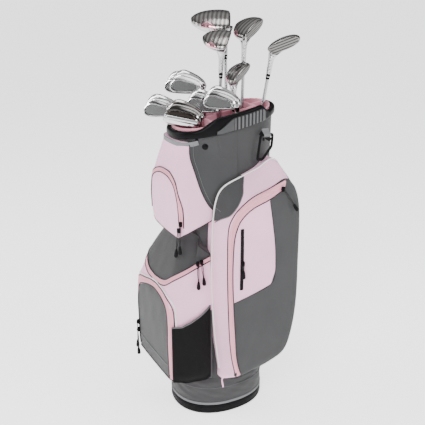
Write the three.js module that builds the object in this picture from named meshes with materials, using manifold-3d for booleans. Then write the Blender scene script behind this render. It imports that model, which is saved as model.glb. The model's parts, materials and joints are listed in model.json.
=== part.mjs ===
// A golf cart bag holding twelve clubs, in millimetres, +Z up.
// The origin is the centre of the base's underside. The ball pocket faces -Y and the shoulder
// strap +Y; the apparel pockets are on +X (right) and -X (left).
import * as THREE from 'three';
import { mergeVertices } from 'three/addons/utils/BufferGeometryUtils.js';
import Module from 'manifold-3d';

const wasm = await Module();
wasm.setup();

// ---- driving dimensions ----
const GAP = 0.35;
const BASE = { halfX: 117, halfY: 137, height: 30, floor: 6, exponent: 2.2 };
const BODY_LOW = { z: 6, halfX: 112, halfY: 132, centreY: 0 };
const BODY_HIGH = { z: 842, halfX: 106, halfY: 144, centreY: 14 };
const BODY_WALL = 3;
const FLOOR_TOP = 11;
const CUFF_TOP = 118;
const COLLAR = { halfX: 110, halfY: 150, centreY: 15, wall: 12, height: 19, archRise: 25 };
const COLLAR_LOW_Z = 842;
const COLLAR_SLOPE = 0.175;
const DIVIDER_DEPTH = 40;
const DIVIDER_TOP_Z = 866;
const DIVIDER_WALL = 5;
const LIFT_OUT_TILT = 60;
const GRIP = { length: 265, buttRadius: 12.5, mouthRadius: 8.5, boreClearance: 0.35 };
const RING_POINTS = 40;

const COLOURS = {
  pink: [0.86, 0.72, 0.79],
  liningPink: [0.78, 0.5, 0.58],
  grey: [0.2, 0.2, 0.21],
  lightGrey: [0.42, 0.43, 0.44],
  black: [0.02, 0.02, 0.022],
  steel: [0.75, 0.75, 0.76],
  gunmetal: [0.35, 0.34, 0.35],
};

function material(colour, roughness, metalness) {
  const [r, g, b] = COLOURS[colour];
  return new THREE.MeshStandardMaterial({ color: new THREE.Color(r, g, b), roughness, metalness });
}

const fabric = (colour) => material(colour, 0.85, 0);
const plastic = (colour) => material(colour, 0.5, 0);
const metal = (colour) => material(colour, 0.18, 1);

const golfSet = new THREE.Group();

function addMesh(parent, name, geometry, surface) {
  const mesh = new THREE.Mesh(geometry, surface);
  mesh.name = name;
  parent.add(mesh);
  return mesh;
}

// ---- solids from rings of points ----
const vec = (x, y, z) => new THREE.Vector3(x, y, z);
const radians = THREE.MathUtils.degToRad;
const smooth = (value, low, high) => THREE.MathUtils.smoothstep(value, low, high);
const mix = THREE.MathUtils.lerp;

function signedVolume(positions, index) {
  let total = 0;
  const corner = (k) => new THREE.Vector3().fromArray(positions, 3 * index[k]);
  for (let k = 0; k < index.length; k += 3) {
    total += corner(k).dot(corner(k + 1).cross(corner(k + 2)));
  }
  return total;
}

function indexedGeometry(positions, index) {
  const outward = signedVolume(positions, index) > 0;
  if (!outward) {
    index.reverse();
  }
  const geometry = new THREE.BufferGeometry();
  geometry.setAttribute('position', new THREE.Float32BufferAttribute(positions, 3));
  geometry.setIndex(index);
  geometry.computeVertexNormals();
  return geometry;
}

function sideFaces(fromRing, toRing, count) {
  const faces = [];
  for (let i = 0; i < count; i += 1) {
    const j = (i + 1) % count;
    const [a, b] = [fromRing * count + i, fromRing * count + j];
    const [c, d] = [toRing * count + i, toRing * count + j];
    faces.push(a, b, d, a, d, c);
  }
  return faces;
}

// A skin through rings of equal point count, with a fan of faces closing each end.
function loft(rings) {
  const count = rings[0].length;
  const last = rings.length - 1;
  const points = rings.flat();
  const index = [];
  for (let r = 0; r < last; r += 1) {
    index.push(...sideFaces(r, r + 1, count));
  }
  for (const [ring, flip] of [[0, true], [last, false]]) {
    const middle = rings[ring].reduce((sum, p) => sum.add(p), vec(0, 0, 0)).divideScalar(count);
    const hub = points.length;
    points.push(middle);
    for (let i = 0; i < count; i += 1) {
      const here = ring * count + i;
      const next = ring * count + ((i + 1) % count);
      index.push(...(flip ? [hub, next, here] : [hub, here, next]));
    }
  }
  return indexedGeometry(points.flatMap((p) => p.toArray()), index);
}

// A skin whose last ring joins its first, such as a tube with a wall.
function loopLoft(rings) {
  const count = rings[0].length;
  const index = rings.flatMap((ring, r) => sideFaces(r, (r + 1) % rings.length, count));
  return indexedGeometry(rings.flat().flatMap((p) => p.toArray()), index);
}

const powerOf = (value, exponent) => Math.sign(value) * Math.abs(value) ** (2 / exponent);

function oval(halfX, halfY, centreY, height, exponent = BASE.exponent, count = RING_POINTS) {
  return Array.from({ length: count }, (_, i) => {
    const angle = (2 * Math.PI * i) / count;
    const x = halfX * powerOf(Math.cos(angle), exponent);
    const y = centreY + halfY * powerOf(Math.sin(angle), exponent);
    return vec(x, y, typeof height === 'function' ? height(x, y) : height);
  });
}

function toSolid(geometry) {
  const bare = geometry.clone();
  bare.deleteAttribute('normal');
  bare.deleteAttribute('uv');
  const merged = mergeVertices(bare, 1e-4);
  return new wasm.Manifold(new wasm.Mesh({
    numProp: 3,
    vertProperties: new Float32Array(merged.attributes.position.array),
    triVerts: new Uint32Array(merged.index.array),
  }));
}

function toGeometry(solid) {
  const mesh = solid.getMesh();
  const geometry = new THREE.BufferGeometry();
  geometry.setAttribute('position', new THREE.BufferAttribute(mesh.vertProperties, 3));
  geometry.setIndex(new THREE.BufferAttribute(mesh.triVerts, 1));
  geometry.computeVertexNormals();
  return geometry;
}

const joined = (...parts) => toGeometry(parts.map(toSolid).reduce((a, b) => a.add(b)));
const cutBy = (stock, ...tools) => (
  toGeometry(tools.map(toSolid).reduce((a, b) => a.subtract(b), toSolid(stock))));

function lathe(profile, segments) {
  const turned = new THREE.LatheGeometry(profile.map(([r, z]) => new THREE.Vector2(r, z)), segments);
  turned.rotateX(Math.PI / 2);
  const bare = turned.clone();
  bare.deleteAttribute('normal');
  bare.deleteAttribute('uv');
  const merged = mergeVertices(bare, 1e-4);
  const index = Array.from(merged.index.array);
  const kept = [];
  for (let k = 0; k < index.length; k += 3) {
    const [a, b, c] = index.slice(k, k + 3);
    if (a !== b && b !== c && c !== a) {
      kept.push(a, b, c);
    }
  }
  return indexedGeometry(Array.from(merged.attributes.position.array), kept);
}

// ---- bag body ----
const collarLow = (x, y) => COLLAR_LOW_Z + COLLAR_SLOPE * y;

function bodyRing(where, offset, height) {
  return oval(where.halfX + offset, where.halfY + offset, where.centreY, height);
}

function bodySolid(offset) {
  return loft([
    bodyRing(BODY_LOW, offset, BODY_LOW.z + GAP - offset),
    bodyRing(BODY_LOW, offset, CUFF_TOP),
    bodyRing(BODY_HIGH, offset, (x, y) => collarLow(x, y) + offset),
  ]);
}

function barrelShell() {
  return loft([
    bodyRing(BODY_LOW, 0, BODY_LOW.z + GAP),
    bodyRing(BODY_LOW, 0, CUFF_TOP),
    bodyRing(BODY_HIGH, 0, (x, y) => collarLow(x, y) - GAP),
    bodyRing(BODY_HIGH, -BODY_WALL, (x, y) => collarLow(x, y) - GAP),
    bodyRing(BODY_LOW, -BODY_WALL, CUFF_TOP),
    bodyRing(BODY_LOW, -BODY_WALL, FLOOR_TOP),
  ]);
}

function baseBoot() {
  const { halfX, halfY, height, floor } = BASE;
  const innerX = BODY_LOW.halfX + GAP;
  const innerY = BODY_LOW.halfY + GAP;
  return loft([
    oval(halfX - 4, halfY - 4, 0, 0),
    oval(halfX, halfY, 0, 5),
    oval(halfX, halfY, 0, height),
    oval(innerX, innerY, 0, height),
    oval(innerX, innerY, 0, floor),
  ]);
}

function baseCuff() {
  const outer = BASE.halfX - 0.5;
  const outerY = BASE.halfY - 0.5;
  const low = BASE.height + GAP;
  return loopLoft([
    oval(outer, outerY, 0, low),
    oval(outer, outerY, 0, CUFF_TOP),
    oval(BODY_LOW.halfX + GAP, BODY_LOW.halfY + GAP, 0, CUFF_TOP),
    oval(BODY_LOW.halfX + GAP, BODY_LOW.halfY + GAP, 0, low),
  ]);
}

function stayRods() {
  const rods = [-1, 1].map((side) => {
    const rod = new THREE.CylinderGeometry(3, 3, 800, 8);
    rod.rotateX(Math.PI / 2);
    rod.rotateY(side * radians(-0.4));
    rod.translate(side * 101.5, 4, FLOOR_TOP + GAP + 402);
    return rod;
  });
  return rods;
}

// ---- collar ----
const archShare = (x, y) => smooth(x, 40, 85) * smooth(y, -100, -38) * (1 - smooth(y, 78, 116));
const collarTop = (x, y) => collarLow(x, y) + COLLAR.height + COLLAR.archRise * archShare(x, y);

function collarRing() {
  const { halfX, halfY, centreY, wall } = COLLAR;
  const count = 64;
  const ring = (inset, height) => oval(halfX - inset, halfY - inset, centreY, height, 2.3, count);
  return loopLoft([
    ring(1, collarLow),
    ring(0, (x, y) => collarTop(x, y) - 4),
    ring(3, collarTop),
    ring(wall - 2, collarTop),
    ring(wall, collarLow),
  ]);
}

function collarSideX(y) {
  const { halfX, halfY, centreY } = COLLAR;
  return halfX * (1 - Math.abs((y - centreY) / halfY) ** 2.3) ** (1 / 2.3);
}

function collarGrip() {
  const sections = 27;
  const [start, end] = [-50, 96];
  const rings = Array.from({ length: sections }, (_, i) => {
    const y = mix(start, end, i / (sections - 1));
    const x = collarSideX(y) + 1;
    const rib = y > -4 && i % 2 === 0 ? 2.2 : 0;
    const low = collarLow(x, y) + 2;
    const high = mix(low + 6, collarTop(x, y) - 9, smooth(y, start - 10, start + 50));
    const proud = mix(2, 5, smooth(y, start, start + 20)) + rib;
    return [
      vec(x, y, low),
      vec(x + proud, y, low + 1.5),
      vec(x + proud, y, high - 2),
      vec(x, y, high),
    ];
  });
  return loft(rings);
}

// Divider cells as [low x, high x, low y, high y], wall centre to wall centre. The fifth and
// sixth make one stepped cell.
const CELLS = [
  [-110, -10, -140, -36.5], [-10, 110, -140, -36.5],
  [-110, -2, -36.5, 4.5], [-110, -2, 4.5, 51], [-2, 110, -36.5, 51], [24, 110, -36.5, 56],
  [-110, -41, 51, 106.5], [-41, 24, 51, 106.5], [24, 110, 56, 106.5],
  [-110, 0, 106.5, 170], [0, 110, 106.5, 170],
];

function dividerGrid() {
  const { halfX, halfY, centreY, wall } = COLLAR;
  const outer = (inset, low, high) => loft([low, high].map((z) => (
    oval(halfX - wall - inset, halfY - wall - inset, centreY, z, 2.3, RING_POINTS))));
  const half = DIVIDER_WALL / 2;
  const boxes = CELLS.map(([x0, x1, y0, y1]) => {
    const box = new THREE.BoxGeometry(x1 - x0 - 2 * half, y1 - y0 - 2 * half, DIVIDER_DEPTH + 2);
    box.translate((x0 + x1) / 2, (y0 + y1) / 2, DIVIDER_DEPTH / 2);
    return toSolid(box);
  });
  const mouth = toSolid(outer(4, -1, DIVIDER_DEPTH + 1));
  const holes = boxes.reduce((a, b) => a.add(b)).intersect(mouth);
  const grid = toGeometry(toSolid(outer(3, 0, DIVIDER_DEPTH)).subtract(holes));
  const place = grid.attributes.position;
  for (let i = 0; i < place.count; i += 1) {
    const rise = DIVIDER_TOP_Z - DIVIDER_DEPTH + COLLAR_SLOPE * place.getY(i);
    place.setZ(i, place.getZ(i) + rise);
  }
  grid.computeVertexNormals();
  return grid;
}

// ---- front pockets ----
// A pocket's plan at one height: straight sides from the body, a straight face, rounded corners.
function pocketRing({ backHalf, faceHalf, front, back, radius }, height) {
  const cornerSteps = 6;
  const sideX = mix(backHalf, faceHalf, 0.5);
  const right = [vec(backHalf, back, height), vec(sideX, mix(back, front, 0.4), height)];
  for (let i = 0; i <= cornerSteps; i += 1) {
    const angle = (Math.PI / 2) * (i / cornerSteps);
    right.push(vec(
      faceHalf - radius + radius * Math.cos(angle),
      front + radius - radius * Math.sin(angle),
      height,
    ));
  }
  right.push(vec((faceHalf - radius) / 2, front, height));
  const left = right.map((p) => vec(-p.x, p.y, p.z));
  return [...left, ...right.reverse()];
}

const UPPER_BACK = -80;
const LOWER_BACK = -80;

// Plans of the pockets from the bottom up: [height, back half width, face half width, front, radius].
const UPPER_PLANS = [
  [540, 98, 70, -130, 30], [562, 109, 98, -150, 24], [585, 112, 106, -153, 20], [640, 112, 106, -154.5, 18],
  [690, 111.5, 105, -154, 20], [712, 111, 99, -150, 24], [740, 109.5, 90, -145, 28],
  [768, 107.5, 80, -140, 34], [804, 105, 62, -133, 44],
];
const LOWER_PLANS = [
  [110, 118, 116, -198, 12], [150, 118.5, 117, -199, 12], [190, 119.5, 118, -201, 12],
  [300, 120, 119, -203, 12], [386, 120, 118, -201, 14], [430, 119, 116, -188, 26],
  [478, 116, 110, -168, 36], [516, 112, 98, -152, 44], [548, 100, 70, -137, 40],
];

function pocketStock(plans, back) {
  return loft(plans.map(([height, backHalf, faceHalf, front, radius]) => (
    pocketRing({ backHalf, faceHalf, front, back, radius }, height))));
}

// Everything below a plane that rises towards +Y by the slope given, or falls if it is negative.
function underCutter(y, z, slope) {
  const box = new THREE.BoxGeometry(400, 600, 200);
  box.translate(0, 0, -100);
  box.rotateX(Math.atan(slope));
  box.translate(0, y, z);
  return box;
}

function upperPocket() {
  return cutBy(pocketStock(UPPER_PLANS, UPPER_BACK), bodySolid(GAP), underCutter(-154, 560, 0.5));
}

const SPLIT_Y = -160;
const SPLIT_Z = 386;
const LOWER_UNDERSIDE = { y: -54, z: 125, slope: -0.235 };

function slab(lowY, highY, lowZ, highZ) {
  const box = new THREE.BoxGeometry(400, highY - lowY, highZ - lowZ);
  box.translate(0, (lowY + highY) / 2, (lowZ + highZ) / 2);
  return box;
}

function lowerStock() {
  const { y, z, slope } = LOWER_UNDERSIDE;
  return cutBy(pocketStock(LOWER_PLANS, LOWER_BACK), bodySolid(GAP), underCutter(y, z, slope));
}

function coolerPocket() {
  return cutBy(lowerStock(), slab(-300, SPLIT_Y, 0, SPLIT_Z));
}

function ballPocket() {
  const front = toSolid(slab(-300, SPLIT_Y - GAP, 0, SPLIT_Z - GAP));
  return toGeometry(toSolid(lowerStock()).intersect(front));
}

function cuffCutter() {
  return loft([
    oval(BASE.halfX + GAP, BASE.halfY + GAP, 0, -5),
    oval(BASE.halfX + GAP, BASE.halfY + GAP, 0, CUFF_TOP + GAP),
  ]);
}

// An open-topped mesh pouch on the lower pockets' right wall, with a rising top edge.
function meshPocket() {
  const inner = 120 + GAP;
  const meshWall = 1.5;
  const outline = (x, inset) => [
    vec(x, -196 + inset, 160 + inset),
    vec(x, -94 - inset, 136 + inset),
    vec(x, -80 - inset, 144 + inset),
    vec(x, -80 - inset, 368),
    vec(x, -118, 341),
    vec(x, -150, 326),
    vec(x, -196 + inset, 325),
  ];
  const shell = loft([outline(inner, 0), outline(inner + 8, 1), outline(inner + 11, 8)]);
  const lift = (points) => points.map((p) => vec(p.x, p.y, p.z > 300 ? p.z + 30 : p.z));
  const layers = [outline(inner + meshWall, 2), outline(inner + 7, 3), outline(inner + 9.5, 9)];
  const hollow = loft(layers.map(lift));
  return cutBy(shell, hollow);
}

// ---- apparel pockets ----
// Outlines as [y, z] points, counter-clockwise from the front-bottom corner.
const POCKET_SEAM = [
  [-44, 124], [20, 130], [80, 150], [128, 196], [150, 260], [156, 350], [158, 480], [154, 620],
  [134, 716], [110, 758], [64, 736], [10, 718], [-41, 698], [-61, 664], [-70, 598], [-73, 500],
  [-73, 400], [-66, 285], [-58, 219], [-50, 160],
];
const POCKET_FACE = [
  [-24, 152], [30, 162], [86, 177], [130, 200], [152, 260], [164, 350], [165, 480], [163, 620],
  [146, 686], [117, 712], [65, 692], [20, 677], [-15, 655], [-38, 632], [-52, 596], [-54, 500],
  [-52, 400], [-47, 290], [-40, 220], [-30, 172],
];

function apparelOutline(x, share, shrink) {
  const centre = [50, 430];
  const blend = POCKET_SEAM.map(([y, z], i) => {
    const [faceY, faceZ] = POCKET_FACE[i];
    const [py, pz] = [mix(y, faceY, share), mix(z, faceZ, share)];
    return vec(x, mix(py, centre[0], shrink), mix(pz, centre[1], shrink));
  });
  return new THREE.CatmullRomCurve3(blend, true, 'centripetal').getPoints(40).slice(0, -1);
}

function apparelPocket(side) {
  const wrapped = (x, rear) => apparelOutline(x, 0, 0).map((p) => vec(x, Math.min(p.y, rear), p.z));
  const rings = [
    wrapped(58, 122),
    wrapped(84, 140),
    apparelOutline(118, 0, 0),
    apparelOutline(150, 0.62, 0),
    apparelOutline(172, 1, 0),
    apparelOutline(178, 1, 0.04),
  ];
  const stock = loft(rings.map((ring) => ring.map((p) => vec(side * p.x, p.y, p.z))));
  return cutBy(stock, bodySolid(GAP), cuffCutter());
}

// ---- towel ring, strap and handle ----
const RING_HINGE = { x: 117, z: 823 };

function towelRing() {
  const corners = [[70, 826], [60, 757], [79, 755], [108, 790], [110, 826]];
  const inner = [[74.5, 821], [66, 762], [77, 760], [103, 792], [105, 821]];
  const outline = new THREE.Shape(corners.map(([y, z]) => new THREE.Vector2(y, z)));
  outline.holes.push(new THREE.Path(inner.map(([y, z]) => new THREE.Vector2(y, z))));
  const plate = new THREE.ExtrudeGeometry(outline, { depth: 4, bevelEnabled: false });
  plate.translate(0, 0, -2);
  plate.applyMatrix4(new THREE.Matrix4().makeBasis(vec(0, 1, 0), vec(0, 0, 1), vec(1, 0, 0)));
  plate.translate(RING_HINGE.x, 0, 0);
  return plate;
}

// A flat band along a curve in the YZ plane, wide along X.
function band(points, width, thickness, steps) {
  const curve = new THREE.CatmullRomCurve3(points.map(([y, z]) => vec(0, y, z)));
  const rings = Array.from({ length: steps + 1 }, (_, i) => {
    const at = curve.getPointAt(i / steps);
    const along = curve.getTangentAt(i / steps);
    const out = vec(0, -along.z, along.y).multiplyScalar(thickness / 2);
    const corner = (side, face) => at.clone().addScaledVector(out, face).add(vec((side * width) / 2, 0, 0));
    return [corner(-1, -1), corner(1, -1), corner(1, 1), corner(-1, 1)];
  });
  return loft(rings);
}

const STRAP_AXIS_Y = 168;
const STRAP_TOP_Z = 690;
const STRAP_LOW_Z = 270;
const HANDLE_X = -40;

function shoulderStrap() {
  const path = [
    [STRAP_AXIS_Y, STRAP_TOP_Z - 14], [186, 640], [204, 560], [209, 480], [204, 400], [186, 320],
    [STRAP_AXIS_Y, STRAP_LOW_Z + 14],
  ];
  return band(path, 46, 7, 20);
}

// A wire D-ring standing out from the spine.
function strapRing(z) {
  const bodyY = bodyBackY(z) + GAP;
  const plate = new THREE.Shape();
  plate.moveTo(bodyY, z - 8);
  plate.lineTo(STRAP_AXIS_Y - 6, z - 8);
  plate.quadraticCurveTo(STRAP_AXIS_Y + 4, z, STRAP_AXIS_Y - 6, z + 8);
  plate.lineTo(bodyY, z + 8);
  const body = new THREE.ExtrudeGeometry(plate, { depth: 30, bevelEnabled: false, curveSegments: 6 });
  body.applyMatrix4(new THREE.Matrix4().makeBasis(vec(0, 1, 0), vec(0, 0, 1), vec(1, 0, 0)));
  body.translate(-15, 0, 0);
  return cutBy(body, bodySolid(GAP));
}

function bodyBackY(z) {
  const share = (z - CUFF_TOP) / (BODY_HIGH.z - CUFF_TOP);
  return mix(BODY_LOW.halfY + BODY_LOW.centreY, BODY_HIGH.halfY + BODY_HIGH.centreY, share);
}

// The carry handle stands beside the strap's line, on its left.
function rearHandle() {
  const [low, high] = [724, 820];
  const path = [[140, low], [168, low + 10], [176, (low + high) / 2], [170, high - 10], [140, high]];
  const handle = band(path, 30, 10, 16);
  handle.translate(HANDLE_X, 0, 0);
  return cutBy(handle, bodySolid(GAP));
}

// ---- zip pulls ----
// A slider with a short cord and a toggle. They hang straight down from the slider's face, or
// swing to the pull's left by an angle.
function zipPull(cordLength, swing, proud) {
  const slider = new THREE.BoxGeometry(proud, 9, 14);
  slider.translate(proud / 2, 0, 0);
  const cord = new THREE.CylinderGeometry(1.5, 1.5, cordLength + 6, 6);
  cord.rotateX(Math.PI / 2);
  cord.translate(proud - 2, 0, -cordLength / 2 - 3);
  cord.rotateX(radians(swing));
  const toggle = lathe([[0, 0], [2.2, 0], [4.2, -18], [3.4, -24], [0, -24]], 8);
  toggle.translate(proud - 2, 0, -cordLength);
  toggle.rotateX(radians(swing));
  return joined(slider, cord, toggle);
}

function addZipPull(name, place, turn, cordLength, swing = 0, proud = 7) {
  const pull = addMesh(golfSet, name, zipPull(cordLength, swing, proud), plastic('black'));
  pull.position.copy(place);
  pull.rotation.z = radians(turn);
}

// ---- club parts, in the club's own frame ----
// The shaft runs up +Z from the butt at 0, the toe points to +X and up, the face to -Y.
function headPoint(u, v, w, sole) {
  const tilt = radians(sole);
  return vec(u * Math.cos(tilt) - v * Math.sin(tilt), w, u * Math.sin(tilt) + v * Math.cos(tilt));
}

// Sections of an iron from heel to toe: [u, sole v, top line v, sole width, top width].
const IRON_SECTIONS = [
  [-6, 11, -7, 10, 8], [6, 18, -16, 15, 6], [26, 22, -26, 18, 5], [50, 22, -36, 18, 5],
  [68, 19, -40, 16, 5], [79, 9, -36, 12, 5], [83, -7, -25, 7, 4],
];

function ironBlade(loftAngle, size) {
  const lean = Math.tan(radians(loftAngle));
  const rings = IRON_SECTIONS.map(([u, sole, top, soleWidth, topWidth]) => {
    const profile = [
      [sole - 3, 0], [top + 2, 0], [top, 2], [top + 1, topWidth], [top + 7, topWidth * 0.6],
      [mix(top, sole, 0.5), 4], [sole - 11, soleWidth * 0.75], [sole - 3, soleWidth],
      [sole, soleWidth * 0.6],
    ];
    return profile.map(([v, w]) => (
      headPoint(u * size, v * size, w - 5 - v * size * lean, 90 - LIFT_OUT_TILT)));
  });
  return loft(rings);
}

// Sections of a wood from face to back: [depth share, width share, sole share, crown share].
const WOOD_SECTIONS = [
  [0, 0.86, 0.72, 0.8], [0.05, 0.95, 0.9, 1], [0.25, 1, 1, 1], [0.5, 0.94, 0.98, 0.82],
  [0.75, 0.75, 0.85, 0.5], [0.92, 0.46, 0.66, 0.12], [1, 0.2, 0.5, -0.2],
];

function woodBody({ width, depth, height }) {
  const points = 14;
  const rings = WOOD_SECTIONS.map(([far, wide, sole, crown]) => (
    Array.from({ length: points }, (_, i) => {
      const angle = (2 * Math.PI * i) / points;
      const u = width / 2 - 14 + (width / 2) * wide * powerOf(Math.cos(angle), 2.3);
      const up = powerOf(Math.sin(angle), 2.3);
      const v = (height / 2) * up * (up > 0 ? sole : crown) - (crown < 0 && up <= 0 ? 0.5 : 0);
      return headPoint(u, v + 6, far * depth - 14, 30);
    })
  ));
  return loft(rings);
}

function putterBlade() {
  const shares = [[-14, 0.5], [-9, 1], [76, 1], [82, 0.6]];
  const rings = shares.map(([u, share]) => (
    Array.from({ length: 10 }, (_, i) => {
      const angle = (2 * Math.PI * i) / 10;
      const v = 11 * share * powerOf(Math.cos(angle), 3);
      const w = 12 * share * powerOf(Math.sin(angle), 3);
      return headPoint(u, v + 4, w, 18);
    })
  ));
  return loft(rings);
}

const HOSEL_LENGTH = { wood: 62, iron: 46, putter: 40 };

function clubHead(club) {
  const length = HOSEL_LENGTH[club.kind];
  const hosel = lathe([[0, -length], [6.2, -length], [7.4, -length * 0.4], [8, -3], [0, -3]], 10);
  if (club.kind === 'iron') {
    return joined(ironBlade(club.loft, club.size), hosel);
  }
  if (club.kind === 'putter') {
    return joined(putterBlade(), hosel);
  }
  return joined(woodBody(club), hosel);
}

function clubShaft(low, high) {
  const top = high - GAP;
  return lathe([
    [0, low], [7, low], [6.6, low + 250], [4.5, top - 26], [5.8, top - 24], [5.8, top], [0, top],
  ], 10);
}

function clubGrip() {
  const bore = 7 + GRIP.boreClearance;
  return lathe([
    [0, 0], [GRIP.buttRadius - 1, 0], [GRIP.buttRadius, 3], [GRIP.mouthRadius, GRIP.length],
    [bore, GRIP.length], [bore, 4], [0, 4],
  ], 12);
}

// Each club: where its shaft crosses the rim and the floor, the height of its head's heel, and
// the plan angle that its toe points to.
const RIM_Z = 860;
const BUTT_Z = 13;
const CLUBS = [
  {
    name: 'driver', kind: 'wood', rim: [-68, 69], floor: [69, 21], heel: 1070,
    toe: 152, width: 110, depth: 108, height: 54,
  },
  {
    name: 'fairway_3', kind: 'wood', rim: [-20, 91], floor: [-20, 68], heel: 1058,
    toe: 110, width: 94, depth: 68, height: 38,
  },
  {
    name: 'fairway_5', kind: 'wood', rim: [-20, 22], floor: [-3, -14], heel: 1032,
    toe: 140, width: 85, depth: 72, height: 36,
  },
  {
    name: 'hybrid_5', kind: 'wood', rim: [26, 126], floor: [-34, 4], heel: 1028,
    toe: 62, width: 92, depth: 60, height: 34,
  },
  {
    name: 'hybrid_6', kind: 'wood', rim: [37, 36], floor: [48, 69], heel: 952,
    toe: 107, width: 84, depth: 50, height: 32,
  },
  { name: 'iron_6', kind: 'iron', rim: [-36, -16], floor: [-80, 60], heel: 932, toe: 242, loft: 22, size: 1 },
  { name: 'iron_7', kind: 'iron', rim: [-75, -18], floor: [-85, 18], heel: 922, toe: 242, loft: 22, size: 1 },
  { name: 'iron_8', kind: 'iron', rim: [69, 28], floor: [82, 57], heel: 900, toe: 242, loft: 24, size: 1 },
  { name: 'iron_9', kind: 'iron', rim: [16, 1], floor: [20, 10], heel: 884, toe: 242, loft: 24, size: 1 },
  {
    name: 'pitching_wedge', kind: 'iron', rim: [-41, -95], floor: [-28, -28], heel: 873,
    toe: 242, loft: 26, size: 1,
  },
  {
    name: 'sand_wedge', kind: 'iron', rim: [19, -55], floor: [54, -3], heel: 861,
    toe: 246, loft: 26, size: 1.1,
  },
  { name: 'putter', kind: 'putter', rim: [39, -87], floor: [76, -32], heel: 851, toe: 252 },
];

function addClub(club) {
  const frame = new THREE.Group();
  const butt = vec(club.floor[0], club.floor[1], BUTT_Z);
  const axis = vec(club.rim[0], club.rim[1], RIM_Z).sub(butt).normalize();
  frame.position.copy(butt);
  frame.quaternion.setFromUnitVectors(vec(0, 0, 1), axis);
  const turn = new THREE.Quaternion().setFromAxisAngle(vec(0, 0, 1), radians(club.toe));
  frame.quaternion.multiply(turn);
  const heel = (club.heel - BUTT_Z) / axis.z;
  const finish = metal(club.kind === 'wood' ? 'gunmetal' : 'steel');
  const head = addMesh(frame, `${club.name}_head`, clubHead(club), finish);
  head.position.z = heel;
  addMesh(frame, `${club.name}_shaft`, clubShaft(4 + GAP, heel - HOSEL_LENGTH[club.kind]), metal('steel'));
  addMesh(frame, `${club.name}_grip`, clubGrip(), material('black', 0.9, 0));
  golfSet.add(frame);
}

// ---- assembly ----
addMesh(golfSet, 'base_boot', baseBoot(), plastic('black'));
addMesh(golfSet, 'base_cuff', baseCuff(), fabric('grey'));
addMesh(golfSet, 'barrel_shell', barrelShell(), fabric('grey'));
stayRods().forEach((rod, i) => addMesh(golfSet, `stay_rod_${['left', 'right'][i]}`, rod, metal('steel')));
addMesh(golfSet, 'collar_ring', collarRing(), plastic('black'));
addMesh(golfSet, 'collar_grip', collarGrip(), plastic('lightGrey'));
addMesh(golfSet, 'divider_grid', dividerGrid(), fabric('liningPink'));
addMesh(golfSet, 'upper_pocket', upperPocket(), fabric('pink'));
addMesh(golfSet, 'cooler_pocket', coolerPocket(), fabric('pink'));
addMesh(golfSet, 'ball_pocket', ballPocket(), fabric('grey'));
addMesh(golfSet, 'mesh_pocket', meshPocket(), fabric('black'));
addMesh(golfSet, 'apparel_pocket_right', apparelPocket(1), fabric('grey'));
addMesh(golfSet, 'apparel_pocket_left', apparelPocket(-1), fabric('grey'));
addMesh(golfSet, 'towel_ring', towelRing(), plastic('black'));
addMesh(golfSet, 'strap_ring_upper', strapRing(STRAP_TOP_Z), plastic('black'));
addMesh(golfSet, 'strap_ring_lower', strapRing(STRAP_LOW_Z), plastic('black'));
addMesh(golfSet, 'shoulder_strap', shoulderStrap(), fabric('grey'));
addMesh(golfSet, 'rear_handle', rearHandle(), plastic('black'));
addZipPull('upper_zip_pull', vec(97, -152.5, 608), -60, 60);
addZipPull('cooler_zip_pull', vec(119, -118, 498), 0, 50);
addZipPull('ball_zip_pull', vec(-104, -203.5, 240), -90, 60);
addZipPull('apparel_zip_pull', vec(179, 104, 690), 0, 56, 35);
addZipPull('valuables_zip_pull', vec(179, -14, 500), 0, 18);
CLUBS.forEach(addClub);

export default golfSet;
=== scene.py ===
# A golf cart bag with twelve clubs: the looks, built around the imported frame.
# The camera, lights and floor are placed in metres. All other lengths are in millimetres, and turn into
# metres when a mesh is made.
import json
import math

import bmesh
import bpy
import numpy as np
from mathutils import Matrix, Vector
from mathutils.bvhtree import BVHTree


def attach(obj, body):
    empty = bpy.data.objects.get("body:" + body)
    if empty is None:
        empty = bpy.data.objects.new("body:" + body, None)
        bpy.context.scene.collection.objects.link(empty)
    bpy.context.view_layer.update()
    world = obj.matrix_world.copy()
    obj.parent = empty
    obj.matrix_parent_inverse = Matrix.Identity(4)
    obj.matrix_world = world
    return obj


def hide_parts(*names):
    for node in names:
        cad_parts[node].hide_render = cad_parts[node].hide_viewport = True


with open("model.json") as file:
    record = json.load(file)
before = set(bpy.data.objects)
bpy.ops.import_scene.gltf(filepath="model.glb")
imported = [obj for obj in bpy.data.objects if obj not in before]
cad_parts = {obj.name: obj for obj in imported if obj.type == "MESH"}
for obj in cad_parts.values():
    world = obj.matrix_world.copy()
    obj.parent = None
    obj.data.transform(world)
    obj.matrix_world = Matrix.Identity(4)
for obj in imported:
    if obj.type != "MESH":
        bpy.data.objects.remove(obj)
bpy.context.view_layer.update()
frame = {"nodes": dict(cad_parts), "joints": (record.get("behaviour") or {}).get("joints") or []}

MM = 0.001

# ---- camera, lights and floor ----
CAMERA_PLACE = (1.669, -0.869, 1.261)
CAMERA_AIM = (0.0, 0.0, 0.584)
LIGHT_AIM = (0, 0, 0.55)
FLOOR_REACH = 40
# How bright the studio is, from the horizon, 0, to straight overhead, 1.
STUDIO_LEVELS = [
    (0.0, 0.9), (0.07, 0.9), (0.13, 0.12), (0.36, 0.05), (0.46, 0.45), (0.56, 0.12), (0.72, 0.75), (1.0, 0.8),
]


def aimed(place, aim):
    return (Vector(aim) - Vector(place)).to_track_quat("-Z", "Y").to_euler()


def link(obj):
    bpy.context.scene.collection.objects.link(obj)
    return obj


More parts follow.
